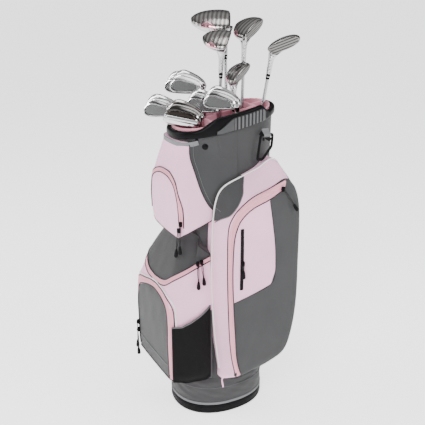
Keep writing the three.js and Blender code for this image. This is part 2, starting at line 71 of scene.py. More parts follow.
def make_camera():
    data = bpy.data.cameras.new("camera")
    data.lens = 60.0
    data.sensor_width = 36.0
    data.shift_x = -0.008
    camera = link(bpy.data.objects.new("camera", data))
    camera.location = CAMERA_PLACE
    camera.rotation_euler = aimed(CAMERA_PLACE, CAMERA_AIM)
    bpy.context.scene.camera = camera


def area_light(name, place, size, power):
    data = bpy.data.lights.new(name, "AREA")
    data.shape = "DISK"
    data.size = size
    data.energy = power
    light = link(bpy.data.objects.new(name, data))
    light.location = place
    light.rotation_euler = aimed(place, LIGHT_AIM)


def make_world():
    """A studio with dark bands between its bright horizon and top, so that metal shows its edges."""
    world = bpy.data.worlds.new("studio")
    world.use_nodes = True
    tree = world.node_tree
    place = tree.nodes.new("ShaderNodeTexCoord")
    split = tree.nodes.new("ShaderNodeSeparateXYZ")
    ramp = tree.nodes.new("ShaderNodeValToRGB")
    tree.links.new(place.outputs["Generated"], split.inputs[0])
    tree.links.new(split.outputs["Z"], ramp.inputs["Fac"])
    tree.links.new(ramp.outputs["Color"], tree.nodes["Background"].inputs["Color"])
    while len(ramp.color_ramp.elements) < len(STUDIO_LEVELS):
        ramp.color_ramp.elements.new(0.5)
    for element, (height, level) in zip(ramp.color_ramp.elements, STUDIO_LEVELS):
        element.position = height
        element.color = (level, level, level, 1)
    bpy.context.scene.world = world


def make_floor():
    mesh = bpy.data.meshes.new("floor")
    corners = [(x * FLOOR_REACH, y * FLOOR_REACH, 0) for x, y in ((-1, -1), (1, -1), (1, 1), (-1, 1))]
    mesh.from_pydata(corners, [], [(0, 1, 2, 3)])
    floor = link(bpy.data.objects.new("floor", mesh))
    paper = bpy.data.materials.new("pale_floor")
    paper.use_nodes = True
    surface = paper.node_tree.nodes["Principled BSDF"]
    surface.inputs["Base Color"].default_value = (0.95, 0.95, 0.95, 1)
    surface.inputs["Roughness"].default_value = 0.95
    surface.inputs["Emission Color"].default_value = (1, 1, 1, 1)
    surface.inputs["Emission Strength"].default_value = 1.7
    mesh.materials.append(paper)


make_camera()
make_world()
make_floor()
area_light("key", (2.4, -2.4, 2.6), 1.6, 120)
area_light("side", (2.6, 1.9, 1.9), 1.6, 45)
area_light("front", (-1.4, -2.8, 1.7), 1.8, 40)
area_light("top", (0.2, 0.1, 3.2), 1.6, 30)

# ---- materials ----
PINK = (0.88, 0.50, 0.66)
PINK_ZIP = (0.86, 0.38, 0.48)
LINING = (0.72, 0.30, 0.38)
GREY = (0.046, 0.0465, 0.048)
LIGHT_GREY = (0.17, 0.175, 0.18)
BLACK = (0.0025, 0.0025, 0.003)
WHITE = (0.82, 0.80, 0.81)


class Shader:
    """A material's node tree, with short names for the nodes that the finishes share."""

    def __init__(self, name, roughness, metallic=0.0):
        self.material = bpy.data.materials.new(name)
        self.material.use_nodes = True
        self.tree = self.material.node_tree
        self.surface = self.tree.nodes["Principled BSDF"]
        self.set("Roughness", roughness)
        self.set("Metallic", metallic)
        self.place = self.node("ShaderNodeTexCoord").outputs["Object"]

    def node(self, kind, **values):
        made = self.tree.nodes.new(kind)
        for key, value in values.items():
            setattr(made, key, value)
        return made

    def link(self, source, target):
        self.tree.links.new(source, target)

    def set(self, name, value):
        self.surface.inputs[name].default_value = value

    def feed(self, name, source):
        self.link(source, self.surface.inputs[name])

    def math(self, operation, first, second=0.0):
        made = self.node("ShaderNodeMath", operation=operation)
        for socket, value in zip(made.inputs, (first, second)):
            if isinstance(value, (int, float)):
                socket.default_value = value
            else:
                self.link(value, socket)
        return made.outputs[0]

    def add(self, first, second):
        return self.math("ADD", first, second)

    def times(self, first, second):
        return self.math("MULTIPLY", first, second)

    def wave(self, source, radians):
        """A sine of the source, with so many radians to its unit."""
        return self.math("SINE", self.times(source, radians))

    def noise(self, scale, detail=3.0):
        made = self.node("ShaderNodeTexNoise")
        made.inputs["Scale"].default_value = scale
        made.inputs["Detail"].default_value = detail
        self.link(self.place, made.inputs["Vector"])
        return made.outputs["Fac"]

    def ramp(self, source, low, high, first=0.0, last=1.0):
        made = self.node("ShaderNodeMapRange")
        for name, value in (("From Min", low), ("From Max", high), ("To Min", first), ("To Max", last)):
            made.inputs[name].default_value = value
        self.link(source, made.inputs["Value"])
        return made.outputs["Result"]

    def cloud(self, scale, low=0.3, high=0.7, first=0.0, last=1.0):
        """Soft patches of one value in another."""
        return self.ramp(self.noise(scale), low, high, first, last)

    def mix(self, share, first, second):
        made = self.node("ShaderNodeMix", data_type="RGBA")
        self.link(share, made.inputs["Factor"])
        for socket, value in ((made.inputs["A"], first), (made.inputs["B"], second)):
            if isinstance(value, tuple):
                socket.default_value = (*value, 1)
            else:
                self.link(value, socket)
        return made.outputs["Result"]

    def attribute(self, name):
        return self.node("ShaderNodeAttribute", attribute_name=name).outputs["Fac"]

    def within(self, name, soft=0.5):
        """1 where the attribute is above 0, with an edge that is soft to each side."""
        return self.ramp(self.attribute(name), -soft, soft)

    def bump(self, height, strength, distance=0.0005):
        made = self.node("ShaderNodeBump")
        made.inputs["Strength"].default_value = strength
        made.inputs["Distance"].default_value = distance
        self.link(height, made.inputs["Height"])
        self.feed("Normal", made.outputs["Normal"])

    def axes(self):
        split = self.node("ShaderNodeSeparateXYZ")
        self.link(self.place, split.inputs[0])
        return [split.outputs[name] for name in "XYZ"]

    def weave(self, pitch):
        """Over and under threads: one set runs up, the other round the object."""
        x, y, z = self.axes()
        turns = 2 * math.pi / (pitch * MM)
        return self.times(self.wave(self.add(x, y), turns), self.wave(z, turns))


def darker(colour, share):
    return tuple(c * share for c in colour)


def fabric(name, colour, other=None, pitch=1.6, strength=0.35, roughness=0.72, sheen=0.25):
    """Coated polyester. Where the attribute "panel" is above 0, it takes the other colour."""
    made = Shader(name, roughness)
    cloud = made.cloud(14.0)
    tone = made.mix(cloud, darker(colour, 0.93), colour)
    if other:
        second = made.mix(cloud, darker(other, 0.9), other)
        tone = made.mix(made.within("panel", 0.3), tone, second)
    made.feed("Base Color", tone)
    grain = made.times(made.noise(900.0, 2.0), 0.6)
    made.bump(made.add(made.weave(pitch), grain), strength, 0.0003)
    made.set("Sheen Weight", sheen * 0.5)
    made.set("Sheen Roughness", 0.5)
    made.set("Specular IOR Level", 0.15)
    return made.material


def webbing(name, colour):
    return fabric(name, colour, pitch=2.2, strength=0.9, roughness=0.8, sheen=0.15)


def moulded(name, colour, roughness, grain=700.0, strength=0.12):
    """Black plastic and rubber, slightly worn."""
    made = Shader(name, roughness)
    made.feed("Base Color", made.mix(made.cloud(40.0, 0.35, 0.75), colour, darker(colour, 1.6)))
    made.feed("Roughness", made.cloud(90.0, first=roughness * 0.85, last=roughness * 1.2))
    made.bump(made.noise(grain, 2.0), strength, 0.0002)
    made.set("Specular IOR Level", 0.07)
    return made.material


def polished(name, colour, roughness=0.1):
    made = Shader(name, roughness, metallic=1.0)
    made.feed("Roughness", made.cloud(60.0, first=roughness * 0.7, last=roughness * 1.5))
    made.feed("Base Color", made.mix(made.cloud(25.0), darker(colour, 0.9), colour))
    made.bump(made.noise(1500.0, 1.0), 0.15, 0.00003)
    return made.material


def iron_metal(name, bright, satin):
    """Bright metal. "panel" above 0 is the satin cavity; painted shade darkens the step round it. "groove"
    counts lines.
    """
    made = Shader(name, 0.1, metallic=1.0)
    share = made.within("panel", 0.4)
    # The step: a near-black line of painted shade along the cavity's edge, where the step into the cavity
    # would be in shadow.
    step = made.ramp(made.math("ABSOLUTE", made.attribute("panel")), 0.5, 1.1, 1.0, 0.0)
    streaks = made.ramp(made.wave(made.attribute("groove"), 2.2), -1.0, 1.0)
    brushed = made.mix(streaks, darker(satin, 0.7), satin)
    # The near-black colour mixed in by the step is painted shade, laid over both the bright and the satin
    # metal.
    made.feed("Base Color", made.mix(step, made.mix(share, bright, brushed), (0.03, 0.03, 0.032)))
    made.feed("Roughness", made.ramp(share, 0.0, 1.0, 0.1, 0.26))
    made.bump(made.add(made.times(step, -1.0), made.times(made.noise(1200.0), 0.1)), 0.5, 0.0006)
    return made.material


def wood_metal(name):
    """A striped dark sole, a pink insert, a bright skirt and socket, a dark grooved face, a pale crown."""
    made = Shader(name, 0.2, metallic=1.0)
    wide, fine = (made.wave(made.attribute("stripe"), radians) for radians in (0.52, 1.7))
    bands = made.add(wide, made.times(fine, 0.45))
    tone = made.mix(made.ramp(bands, -0.9, 1.3), (0.11, 0.10, 0.098), (0.36, 0.35, 0.34))
    scored = made.ramp(made.wave(made.attribute("groove"), math.pi), -0.4, 0.9)
    layers = (
        ("insert", (0.78, 0.38, 0.46)), ("skirt", (0.52, 0.52, 0.53)), ("crown", (0.50, 0.46, 0.48)),
        ("face", made.mix(scored, (0.20, 0.195, 0.19), (0.03, 0.029, 0.028))),
    )
    for layer, colour in layers:
        tone = made.mix(made.within(layer), tone, colour)
    made.feed("Base Color", tone)
    rough = made.ramp(made.attribute("face"), -0.5, 0.5, 0.15, 0.42)
    made.feed("Roughness", made.add(rough, made.times(made.noise(80.0), 0.06)))
    lines = made.math("MAXIMUM", made.wave(made.attribute("groove"), math.pi), 0.0)
    relief = made.add(made.times(bands, 0.4), made.times(made.within("insert"), 0.6))
    made.bump(made.math("SUBTRACT", relief, lines), 0.5, 0.0006)
    return made.material


def rubber_grip(name):
    """A fine diamond pattern pressed into black rubber."""
    made = Shader(name, 0.75)
    x, y, z = made.axes()
    twist = made.wave(made.add(z, x), 1500.0)
    cross = made.wave(made.math("SUBTRACT", z, y), 1500.0)
    pattern = made.math("MAXIMUM", twist, cross)
    raised = made.ramp(pattern, 0.6, 1.0)
    made.feed("Base Color", made.mix(raised, (0.02, 0.02, 0.021), (0.045, 0.043, 0.044)))
    made.bump(pattern, 0.5, 0.0004)
    return made.material


def mesh_fabric(name):
    """Black knitted mesh: rows of offset holes, a little light in the threads."""
    made = Shader(name, 0.55)
    _, y, z = made.axes()
    turns = 2 * math.pi / (5.2 * MM)
    rows = made.wave(made.add(y, z), turns)
    columns = made.wave(made.math("SUBTRACT", y, z), turns)
    holes = made.ramp(made.times(rows, columns), 0.0, 0.55)
    made.feed("Base Color", made.mix(holes, (0.012, 0.012, 0.0125), (0.0005, 0.0005, 0.0005)))
    made.bump(made.math("SUBTRACT", 1.0, holes), 0.8, 0.0008)
    made.set("Specular IOR Level", 0.03)
    return made.material


def ribbed_rubber(name):
    """Grey on the tops of the ribs, black between them."""
    made = Shader(name, 0.6)
    share = made.ramp(made.attribute("rib"), 0.35, 0.9)
    made.feed("Base Color", made.mix(share, (0.012, 0.012, 0.013), (0.10, 0.102, 0.105)))
    made.bump(made.noise(800.0, 2.0), 0.2, 0.0002)
    made.set("Specular IOR Level", 0.2)
    return made.material


panels = fabric("pink_and_grey_fabric", PINK, GREY)
grey_fabric = fabric("grey_fabric", GREY)
band_fabric = fabric("light_grey_band", LIGHT_GREY)
lining_fabric = fabric("lining_fabric", LINING, pitch=1.2, sheen=0.5)
pink_zip = fabric("pink_zip_tape", PINK_ZIP, pitch=1.1, strength=0.7)
pink_piping = fabric("pink_piping", PINK, pitch=1.0)
white_piping = fabric("white_piping", WHITE, pitch=1.0, sheen=0.1)
dark_seam = fabric("dark_seam_binding", (0.02, 0.018, 0.02), pitch=1.0)
grey_binding = fabric("grey_binding", (0.10, 0.102, 0.105), pitch=1.0)
black_webbing = webbing("black_webbing", BLACK)
grey_webbing = webbing("grey_webbing", LIGHT_GREY)
black_mesh = mesh_fabric("black_mesh")
black_plastic = moulded("black_plastic", BLACK, 0.34)
black_rubber = moulded("black_rubber", (0.004, 0.004, 0.0045), 0.5, 400.0, 0.3)
black_cord = fabric("black_cord", BLACK, pitch=1.4, strength=0.9)
collar_rubber = ribbed_rubber("collar_grip_rubber")
grip_rubber = rubber_grip("club_grip_rubber")
chrome = polished("chrome", (0.66, 0.66, 0.67))
shaft_steel = polished("shaft_steel", (0.42, 0.42, 0.43), 0.2)
iron_finish = iron_metal("iron_head_metal", (0.60, 0.60, 0.61), (0.50, 0.505, 0.51))
dark_iron_finish = iron_metal("dark_iron_head_metal", (0.36, 0.34, 0.33), (0.15, 0.125, 0.11))
wood_finish = wood_metal("wood_head_metal")

# ---- mesh helpers: a shape is a list of millimetre points and a list of faces ----
def vec(x, y, z):
    return np.array([x, y, z], float)


def mix(low, high, share):
    return low + (high - low) * share


def smooth(value, low, high):
    share = np.clip((value - low) / (high - low), 0.0, 1.0)
    return share * share * (3 - 2 * share)


def resample(points, count, closed=False):
    """The same line with evenly spaced points."""
    line = np.vstack([points, points[:1]]) if closed else np.asarray(points, float)
    run = np.concatenate([[0.0], np.cumsum(np.linalg.norm(np.diff(line, axis=0), axis=1))])
    want = np.linspace(0, run[-1], count + 1)[:-1] if closed else np.linspace(0, run[-1], count)
    return np.stack([np.interp(want, run, line[:, k]) for k in range(line.shape[1])], axis=1)


def spline(points, count, closed=False):
    """Evenly spaced points on a smooth curve through the points given."""
    p = np.array(points, float)
    if closed:
        p = np.vstack([p[-1:], p, p[:2]])
    else:
        p = np.vstack([2 * p[0] - p[1], p, 2 * p[-1] - p[-2]])
    a, b, c, d = p[:-3], p[1:-2], p[2:-1], p[3:]
    t = np.linspace(0, 1, 16, endpoint=False)[:, None, None]
    curve = b + 0.5 * t * ((c - a) + t * ((2 * a - 5 * b + 4 * c - d) + t * (3 * (b - c) + d - a)))
    fine = curve.transpose(1, 0, 2).reshape(-1, p.shape[1])
    if not closed:
        fine = np.vstack([fine, p[-2:-1]])
    return resample(fine, count, closed)


def loft(rings, loop=False):
    """Faces between closed rings of equal count. A fan closes each end, or the last ring meets the first."""
    rings = np.array(rings, float)
    rows, count = rings.shape[:2]
    points = list(rings.reshape(-1, 3))
    faces = []
    for r in range(rows if loop else rows - 1):
        a, b = r * count, ((r + 1) % rows) * count
        faces += [(a + i, a + (i + 1) % count, b + (i + 1) % count, b + i) for i in range(count)]
    if not loop:
        for base, flip in ((0, True), ((rows - 1) * count, False)):
            hub = len(points)
            points.append(rings.reshape(-1, 3)[base:base + count].mean(axis=0))
            for i in range(count):
                face = (hub, base + i, base + (i + 1) % count)
                faces.append(face[::-1] if flip else face)
    return points, faces


def between(outer, inner):
    """A closed skin over two grids of points with the same layout."""
    rows, count = outer.shape[:2]
    points = list(outer.reshape(-1, 3)) + list(inner.reshape(-1, 3))
    under = rows * count
    faces = []
    for r in range(rows - 1):
        for i in range(count - 1):
            a, b = r * count + i, (r + 1) * count + i
            faces += [(a, a + 1, b + 1, b), (under + a, under + b, under + b + 1, under + a + 1)]
    border = [*range(count), *range(2 * count - 1, rows * count, count)]
    border += [*range(rows * count - 2, (rows - 1) * count - 1, -1), *range((rows - 2) * count, 0, -count)]
    faces += [(b, a, under + a, under + b) for a, b in zip(border, border[1:] + border[:1])]
    return points, faces


def merged(*shapes):
    points, faces = [], []
    for some_points, some_faces in shapes:
        base = len(points)
        points += list(some_points)
        faces += [tuple(base + i for i in face) for face in some_faces]
    return points, faces


def tangents(line, closed=False):
    if closed:
        along = np.roll(line, -1, axis=0) - np.roll(line, 1, axis=0)
    else:
        along = np.gradient(line, axis=0)
    return along / np.linalg.norm(along, axis=1)[:, None]


def swept(line, section, ups=None, closed=False):
    """A section of (side, up) points carried along a line. Ups gives the up direction at each point."""
    line = np.array(line, float)
    along = tangents(line, closed)
    if ups is None:
        ups = carried(along)
    ups = np.broadcast_to(np.array(ups, float), line.shape)
    rings = []
    for k, (at, forward, up) in enumerate(zip(line, along, ups)):
        side = np.cross(up, forward)
        side /= np.linalg.norm(side)
        true_up = np.cross(forward, side)
        shape = section(k / (len(line) - 1)) if callable(section) else section
        rings.append([at + side * s + true_up * u for s, u in shape])
    return loft(rings, loop=closed)


def carried(along):
    """Up directions carried along a line without twist."""
    first = np.cross(along[0], (0.31, 0.52, 0.8))
    ups = [first / np.linalg.norm(first)]
    for forward in along[1:]:
        up = ups[-1] - forward * np.dot(ups[-1], forward)
        ups.append(up / np.linalg.norm(up))
    return ups


def circle(radius, sides=12):
    angles = [2 * math.pi * i / sides for i in range(sides)]
    return [(radius * math.cos(a), radius * math.sin(a)) for a in angles]


def tape(width, height, edge=0.6):
    """The section of a flat tape with rounded top edges, its middle at 0 and its underside sunk a little."""
    half = width / 2
    return [(-half, -0.8), (half, -0.8), (half, height - edge), (half - edge, height), (0, height + 0.15),
            (edge - half, height), (-half, height - edge)]


def tube(line, radius, sides=12, closed=False, ups=None):
    section = (lambda share: circle(radius(share), sides)) if callable(radius) else circle(radius, sides)
    return swept(line, section, ups, closed)


def moved(shape, matrix):
    points, faces = shape
    return [np.array(matrix @ Vector(p)) for p in points], faces


def lathe(profile, sides=32, loop=False):
    """A turned shape about Z from (radius, height) points. The profile runs from axis to axis, or closes."""
    return loft([[vec(x, y, z) for x, y in circle(radius, sides)] for radius, z in profile], loop=loop)


def mesh_of(name, shape):
    """A mesh in metres from a shape."""
    points, faces = shape
    mesh = bpy.data.meshes.new(name)
    mesh.from_pydata([tuple(c * MM for c in p) for p in points], [], faces)
    return mesh


def new_piece(name, shape, finish, body, nodes=(), sharp=40, fields=None):
    """Makes one piece from a shape, hangs it on its body and hides the frame's parts that it stands for."""
    mesh = mesh_of(name, shape)
    set_fields(mesh, fields or {})
    tidy_mesh(mesh)
    return placed(link(bpy.data.objects.new(name, mesh)), finish, body, nodes, sharp)


def tidy_mesh(mesh):
    work = bmesh.new()
    work.from_mesh(mesh)
    bmesh.ops.remove_doubles(work, verts=work.verts, dist=2e-6)
    bmesh.ops.dissolve_degenerate(work, dist=1e-6, edges=work.edges)
    bmesh.ops.recalc_face_normals(work, faces=work.faces)
    work.to_mesh(mesh)
    work.free()


def placed(piece, finish, body, nodes=(), sharp=40):
    piece.data.materials.clear()
    piece.data.materials.append(finish)
    piece.data.shade_smooth()
    piece.data.set_sharp_from_angle(angle=math.radians(sharp))
    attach(piece, body)
    if nodes:
        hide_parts(*nodes)
    return piece


def apply_modifiers(piece):
    graph = bpy.context.evaluated_depsgraph_get()
    mesh = bpy.data.meshes.new_from_object(piece.evaluated_get(graph))
    piece.modifiers.clear()
    piece.data = mesh


def fused(name, shape, voxel, passes, keep):
    """One skin over parts that pass through each other, with small fillets where they meet."""
    mesh = mesh_of(name, shape)
    tidy_mesh(mesh)
    piece = link(bpy.data.objects.new(name, mesh))
    remesh = piece.modifiers.new("remesh", "REMESH")
    remesh.mode = "VOXEL"
    remesh.voxel_size = voxel * MM
    relax = piece.modifiers.new("relax", "SMOOTH")
    relax.factor = 0.5
    relax.iterations = passes
    thin = piece.modifiers.new("thin", "DECIMATE")
    thin.ratio = keep
    apply_modifiers(piece)
    return piece


def set_fields(mesh, fields):
    """Gives each point of a mesh the values that its finish reads."""
    for key, values in fields.items():
        attribute = mesh.attributes.new(key, "FLOAT", "POINT")
        attribute.data.foreach_set("value", np.array(values, np.float32))


def mesh_points(mesh):
    points = np.empty(len(mesh.vertices) * 3)
    mesh.vertices.foreach_get("co", points)
    return points.reshape(-1, 3) / MM


def side_of(points, line):
    """Distance of (a, b) points from a line of points, above 0 on its left, going along it."""
    points = np.asarray(points, float)
    line = np.asarray(line, float)
    start, step = line[:-1], np.diff(line, axis=0)
    span = (step ** 2).sum(axis=1)
    away = points[:, None, :] - start[None]
    share = np.clip((away * step).sum(axis=2) / span, 0, 1)
    gap = away - share[..., None] * step
    distance = np.linalg.norm(gap, axis=2)
    near = distance.argmin(axis=1)
    rows = np.arange(len(points))
    turn = step[near, 0] * away[rows, near, 1] - step[near, 1] * away[rows, near, 0]
    return distance[rows, near] * np.where(turn >= 0, 1.0, -1.0)


def inside_of(points, outline):
    """Distance of (a, b) points from a closed anticlockwise outline, above 0 inside it."""
    points = np.asarray(points, float)
    ring = np.vstack([outline, outline[:1]])
    a, b = ring[:-1], ring[1:]
    x, y = points[:, None, 0], points[:, None, 1]
    crosses = (a[None, :, 1] > y) != (b[None, :, 1] > y)
    rise = np.where(b[:, 1] == a[:, 1], 1.0, b[:, 1] - a[:, 1])
    at = (b[:, 0] - a[:, 0]) * (y - a[:, 1]) / rise + a[:, 0]
    within = (crosses & (x < at)).sum(axis=1) % 2 == 1
    return np.abs(side_of(points, ring)) * np.where(within, 1.0, -1.0)


class Ground:
    """The surfaces that seams and tapes are laid on."""

    def __init__(self, *pieces):
        points, faces = [], []
        for piece in pieces:
            base = len(points)
            points += [Vector(p) for p in mesh_points(piece.data)]
            faces += [tuple(base + i for i in face.vertices) for face in piece.data.polygons]
        self.tree = BVHTree.FromPolygons(points, faces)

    def lay(self, points, direction):
        """Where points land when they drop onto the surface along a direction."""
        heading = Vector(direction)
        line = []
        for p in points:
            hit = self.tree.ray_cast(Vector(p) - heading * 400, heading)[0]
            line.append(hit or self.tree.find_nearest(Vector(p))[0])
        return np.array(line)

    def from_front(self, points, count):
        """A smooth line through (x, z) points, laid on from the front."""
        return self.lay([vec(x, 0, z) for x, z in spline(points, count)], (0, 1, 0))

    def from_right(self, points, count):
        """A smooth line through (y, z) points, laid on from the right."""
        return self.lay([vec(0, y, z) for y, z in spline(points, count)], (-1, 0, 0))


# ---- clubs ----
BUTT_HEIGHT = 13.0
HOSEL_LENGTH = {"wood": 62, "iron": 46, "putter": 40}
LIE = 30
PUTTER_LIE = 18
WOOD_FACE = 14
WOOD_HEEL = 14
WOOD_RISE = 6
IRON_FACE = 5
IRON_RIM = 5.2
IRON_WEB = 2.6
FERRULE_LENGTH = 14
GRIP = {"length": 265.0, "butt": 12.4, "mouth": 8.4, "bore": 7.4, "cap": 30.0}

# Each club: its kind, the plan angle that its toe points to, and the sizes of its head.
CLUBS = {
    "driver": ("wood", 152, (110, 108, 54, 10)),
    "fairway_3": ("wood", 110, (94, 68, 38, 20)),
    "fairway_5": ("wood", 140, (85, 72, 36, 20)),
    "hybrid_5": ("wood", 62, (92, 60, 34, 30)),
    "hybrid_6": ("wood", 107, (84, 50, 32, 28)),
    "iron_6": ("iron", 242, (22, 1)),
    "iron_7": ("iron", 242, (22, 1)),
    "iron_8": ("iron", 242, (24, 1)),
    "iron_9": ("iron", 242, (24, 1)),
    "pitching_wedge": ("iron", 242, (26, 1)),
    "sand_wedge": ("iron", 246, (26, 1.1)),
    "putter": ("putter", 252, ()),
}


def club_axis(name):
    """The club's axis, its butt point and its shaft's top, read from the frame."""
    joint = next(j for j in frame["joints"] if j["name"] == f"{name}_lift")
    axis = Vector(joint["axis"]).normalized()
    shaft = [v.co / MM for v in frame["nodes"][f"{name}_shaft"].data.vertices]
    along = [p.dot(axis) for p in shaft]
    top = max(along)
    rim = [p for p, a in zip(shaft, along) if a > top - 1]
    centre = sum(rim, Vector()) / len(rim)
    butt = centre - axis * ((centre.z - BUTT_HEIGHT) / axis.z)
    return axis, butt, (centre - butt).length


def club_matrix(axis, butt, toe):
    turn = Vector((0, 0, 1)).rotation_difference(axis).to_matrix().to_4x4()
    return Matrix.Translation(butt) @ turn @ Matrix.Rotation(math.radians(toe), 4, "Z")


def head_point(u, v, w, lie=LIE):
    """Along the sole to the toe, out from the sole, and back from the face, in the club's frame."""
    tilt = math.radians(lie)
    return vec(u * math.cos(tilt) - v * math.sin(tilt), w, u * math.sin(tilt) + v * math.cos(tilt))


def head_coordinates(points):
    """The other way round: what head_point starts from."""
    tilt = math.radians(LIE)
    u = points[:, 0] * math.cos(tilt) + points[:, 2] * math.sin(tilt)
    v = points[:, 2] * math.cos(tilt) - points[:, 0] * math.sin(tilt)
    return u, v, points[:, 1]


def hosel(length, flare):
    """The socket from the shaft up into the head. Flare is a list of (height, half along the sole,
    half deep, shift towards the toe, shift to the back)."""
    mouth = [(-length, 6.2, 6.2, 0, 0), (-length + 1.2, 6.7, 6.7, 0, 0)]
    return loft([[vec(to_toe + half_u * x, to_back + half_w * y, z) for x, y in circle(1.0, 28)]
                 for z, half_u, half_w, to_toe, to_back in mouth + flare])


def power(value, exponent):
    return math.copysign(abs(value) ** (2 / exponent), value)


# Sections of a wood from face to back, as shares of its size: (how far back, width, sole, crown).
WOOD_SECTIONS = [
    (0.0, 0.80, 0.66, 0.72), (0.02, 0.88, 0.80, 0.86), (0.06, 0.94, 0.92, 0.97), (0.25, 1.0, 1.0, 1.0),
    (0.5, 0.95, 0.98, 0.84), (0.72, 0.79, 0.88, 0.56), (0.88, 0.55, 0.72, 0.24), (0.97, 0.3, 0.56, 0.0),
    (1.0, 0.16, 0.5, -0.12),
]


def wood_shape(width, depth, height, loft_angle):
    """Sections from face to back. The face leans by its loft, and the socket runs into the heel."""
    lean = math.tan(math.radians(loft_angle))
    half = width / 2
    rings = []
    for far, wide, sole, crown in spline(WOOD_SECTIONS, 34):
        ring = []
        for i in range(56):
            angle = 2 * math.pi * i / 56
            corner = 2.3 if math.cos(angle) > 0 else 1.9
            u = (half - WOOD_HEEL) * (1 + 0.22 * far) + half * wide * power(math.cos(angle), corner)
            up = power(math.sin(angle), 2.3)
            v = (height / 2) * up * (sole if up > 0 else crown)
            back = far * depth - WOOD_FACE - v * lean * (1 - smooth(far, 0.05, 0.6))
            ring.append(head_point(u, v + WOOD_RISE, back))
        rings.append(ring)
    spread = depth / 68
    flare = [
        (-38, 6.9, 6.9, 0, 0), (-26, 7.6, 7.4, 0, 0), (-17, 9.2, 8.6, 1, 0.5), (-9, 12.5, 11 * spread, 3, 2),
        (-1, 17, 15 * spread, 7, 5), (8, 23, 20 * spread, 13, 9), (15, 27, 22 * spread, 19, 12),
    ]
    return merged(loft(rings), hosel(HOSEL_LENGTH["wood"], flare))


def wood_head(name, sizes, place):
    width, depth, height, loft_angle = sizes
    piece = fused(f"{name}_head_shell", wood_shape(*sizes), 0.9, 8, 0.4)
    points = mesh_points(piece.data)
    u, v, w = head_coordinates(points)
    lean = math.tan(math.radians(loft_angle))
    far = (w + WOOD_FACE) / depth
    side = (u - (width / 2 - WOOD_HEEL)) / (width / 2)
    front = w + WOOD_FACE + (v - WOOD_RISE) * lean
    body = np.minimum((points[:, 2] + 9) * 0.5, side * 10 + 10.5)
    insert_sides = [
        (far - 0.36 - 0.6 * (side + 0.9)) * 30, (0.92 - far) * 30, (side + 0.95) * 16,
        (-0.48 - 0.3 * (far - 0.36) - side) * 16, v - 0.16 * height, body,
    ]
    fields = {
        "stripe": w + 5 * side,
        "insert": np.minimum.reduce(insert_sides),
        "skirt": np.maximum(np.minimum(0.22 * height - v, (0.5 - side) * 16), -body - 1),
        "crown": np.minimum.reduce([-v - 0.12 * height, (0.98 - far) * 20, body]),
        "face": np.minimum.reduce([(1.4 - front) * 2, (side + 0.82) * 14, body]),
        "groove": v / 3.6 * (front < 1.6),
    }
    set_fields(piece.data, fields)
    finish_head(piece, name, place, wood_finish)


def finish_head(piece, name, place, finish):
    """Moves a head, whose mesh is already in metres, to the top of its shaft."""
    in_metres = place.copy()
    in_metres.translation = place.translation * MM
    piece.data.transform(in_metres)
    placed(piece, finish, name, [f"{name}_head"], 50)


# Outline of an iron from heel to toe: (along the sole, sole, top line, width of the sole).
IRON_OUTLINE = [
    (-7, 9, -7, 10), (-2, 13.5, -10.5, 12.5), (6, 18, -16, 15.5), (26, 22, -26, 18), (50, 22, -36, 18.5),
    (66, 19.5, -40.5, 16.5), (76, 12.5, -39, 13.5), (81, 3, -34.5, 10), (83.5, -11, -24, 7),
]


def muscle_edge(u):
    """How far above the sole the muscle of an iron ends."""
    return mix(20.0, 27.0, smooth(u, 10, 70))


def iron_depth(u, drop, from_top, wide):
    """How far an iron's back stands behind its face: the muscle, the rim, or the web of the cavity."""
    edge = muscle_edge(u)
    muscle = mix(wide, wide * 0.62, smooth(drop, 0, edge))
    depth = mix(muscle, IRON_RIM, smooth(drop, edge, edge + 5))
    rim_gap = min(from_top, (84.5 - u) * 0.75, (u - 6) * 0.9)
    depth = mix(depth, IRON_WEB, smooth(drop, edge - 0.4, edge + 1.2) * smooth(rim_gap, 3.6, 5.6))
    line = edge * 0.42
    groove = smooth(drop, line, line + 1) * (1 - smooth(drop, line + 1.6, line + 2.8)) * smooth(u, 8, 14)
    return depth - 0.7 * groove


def iron_shape(loft_angle, size):
    """A cavity-back blade: a flat face, a thick sole with a muscle behind it, a rim round a cavity."""
    lean = math.tan(math.radians(loft_angle))
    rows = 44
    columns = spline(IRON_OUTLINE, 64)
    front, back = np.empty((2, len(columns), rows, 3))
    for c, (u, sole, top, wide) in enumerate(columns):
        for k, share in enumerate(np.linspace(0, 1, rows)):
            v = mix(sole, top, share)
            drop = sole - v
            round_sole = 3.2 * (1 - smooth(drop, 0, 4.5))
            round_top = 1.6 * (1 - smooth(v - top, 0, 1.8))
            face = -IRON_FACE - v * size * lean
            depth = iron_depth(u, drop, v - top, wide) - round_sole - round_top
            front[c, k] = head_point(u * size, v * size, face + round_sole * 0.35 + round_top * 0.5)
            back[c, k] = head_point(u * size, v * size, face + depth)
    flare = [(-30, 7.0, 7.0, 0, 0), (-16, 7.6, 7.2, 0.5, 0), (-6, 9.5, 7.6, 2, 0), (4, 12, 6.5, 4, 0),
             (10, 11, 4.5, 6, 0)]
    return merged(between(front, back), hosel(HOSEL_LENGTH["iron"], flare))


def iron_head(name, sizes, place):
    loft_angle, size = sizes
    piece = fused(f"{name}_head_blade", iron_shape(loft_angle, size), 0.55, 2, 0.3)
    u, v, w = head_coordinates(mesh_points(piece.data))
    u, v = u / size, v / size
    columns = spline(IRON_OUTLINE, 64)
    sole, top = (np.interp(u, columns[:, 0], columns[:, k]) for k in (1, 2))
    behind = w + IRON_FACE + v * size * math.tan(math.radians(loft_angle))
    cavity_sides = [
        sole - v - muscle_edge(u) - 1, v - top - 5, (84 - u) * 0.75 - 4, (u - 7) * 0.9, (behind - 1.6) * 2,
    ]
    set_fields(piece.data, {"panel": np.minimum.reduce(cavity_sides), "groove": v / 1.2})
    finish_head(piece, name, place, dark_iron_finish if name == "sand_wedge" else iron_finish)


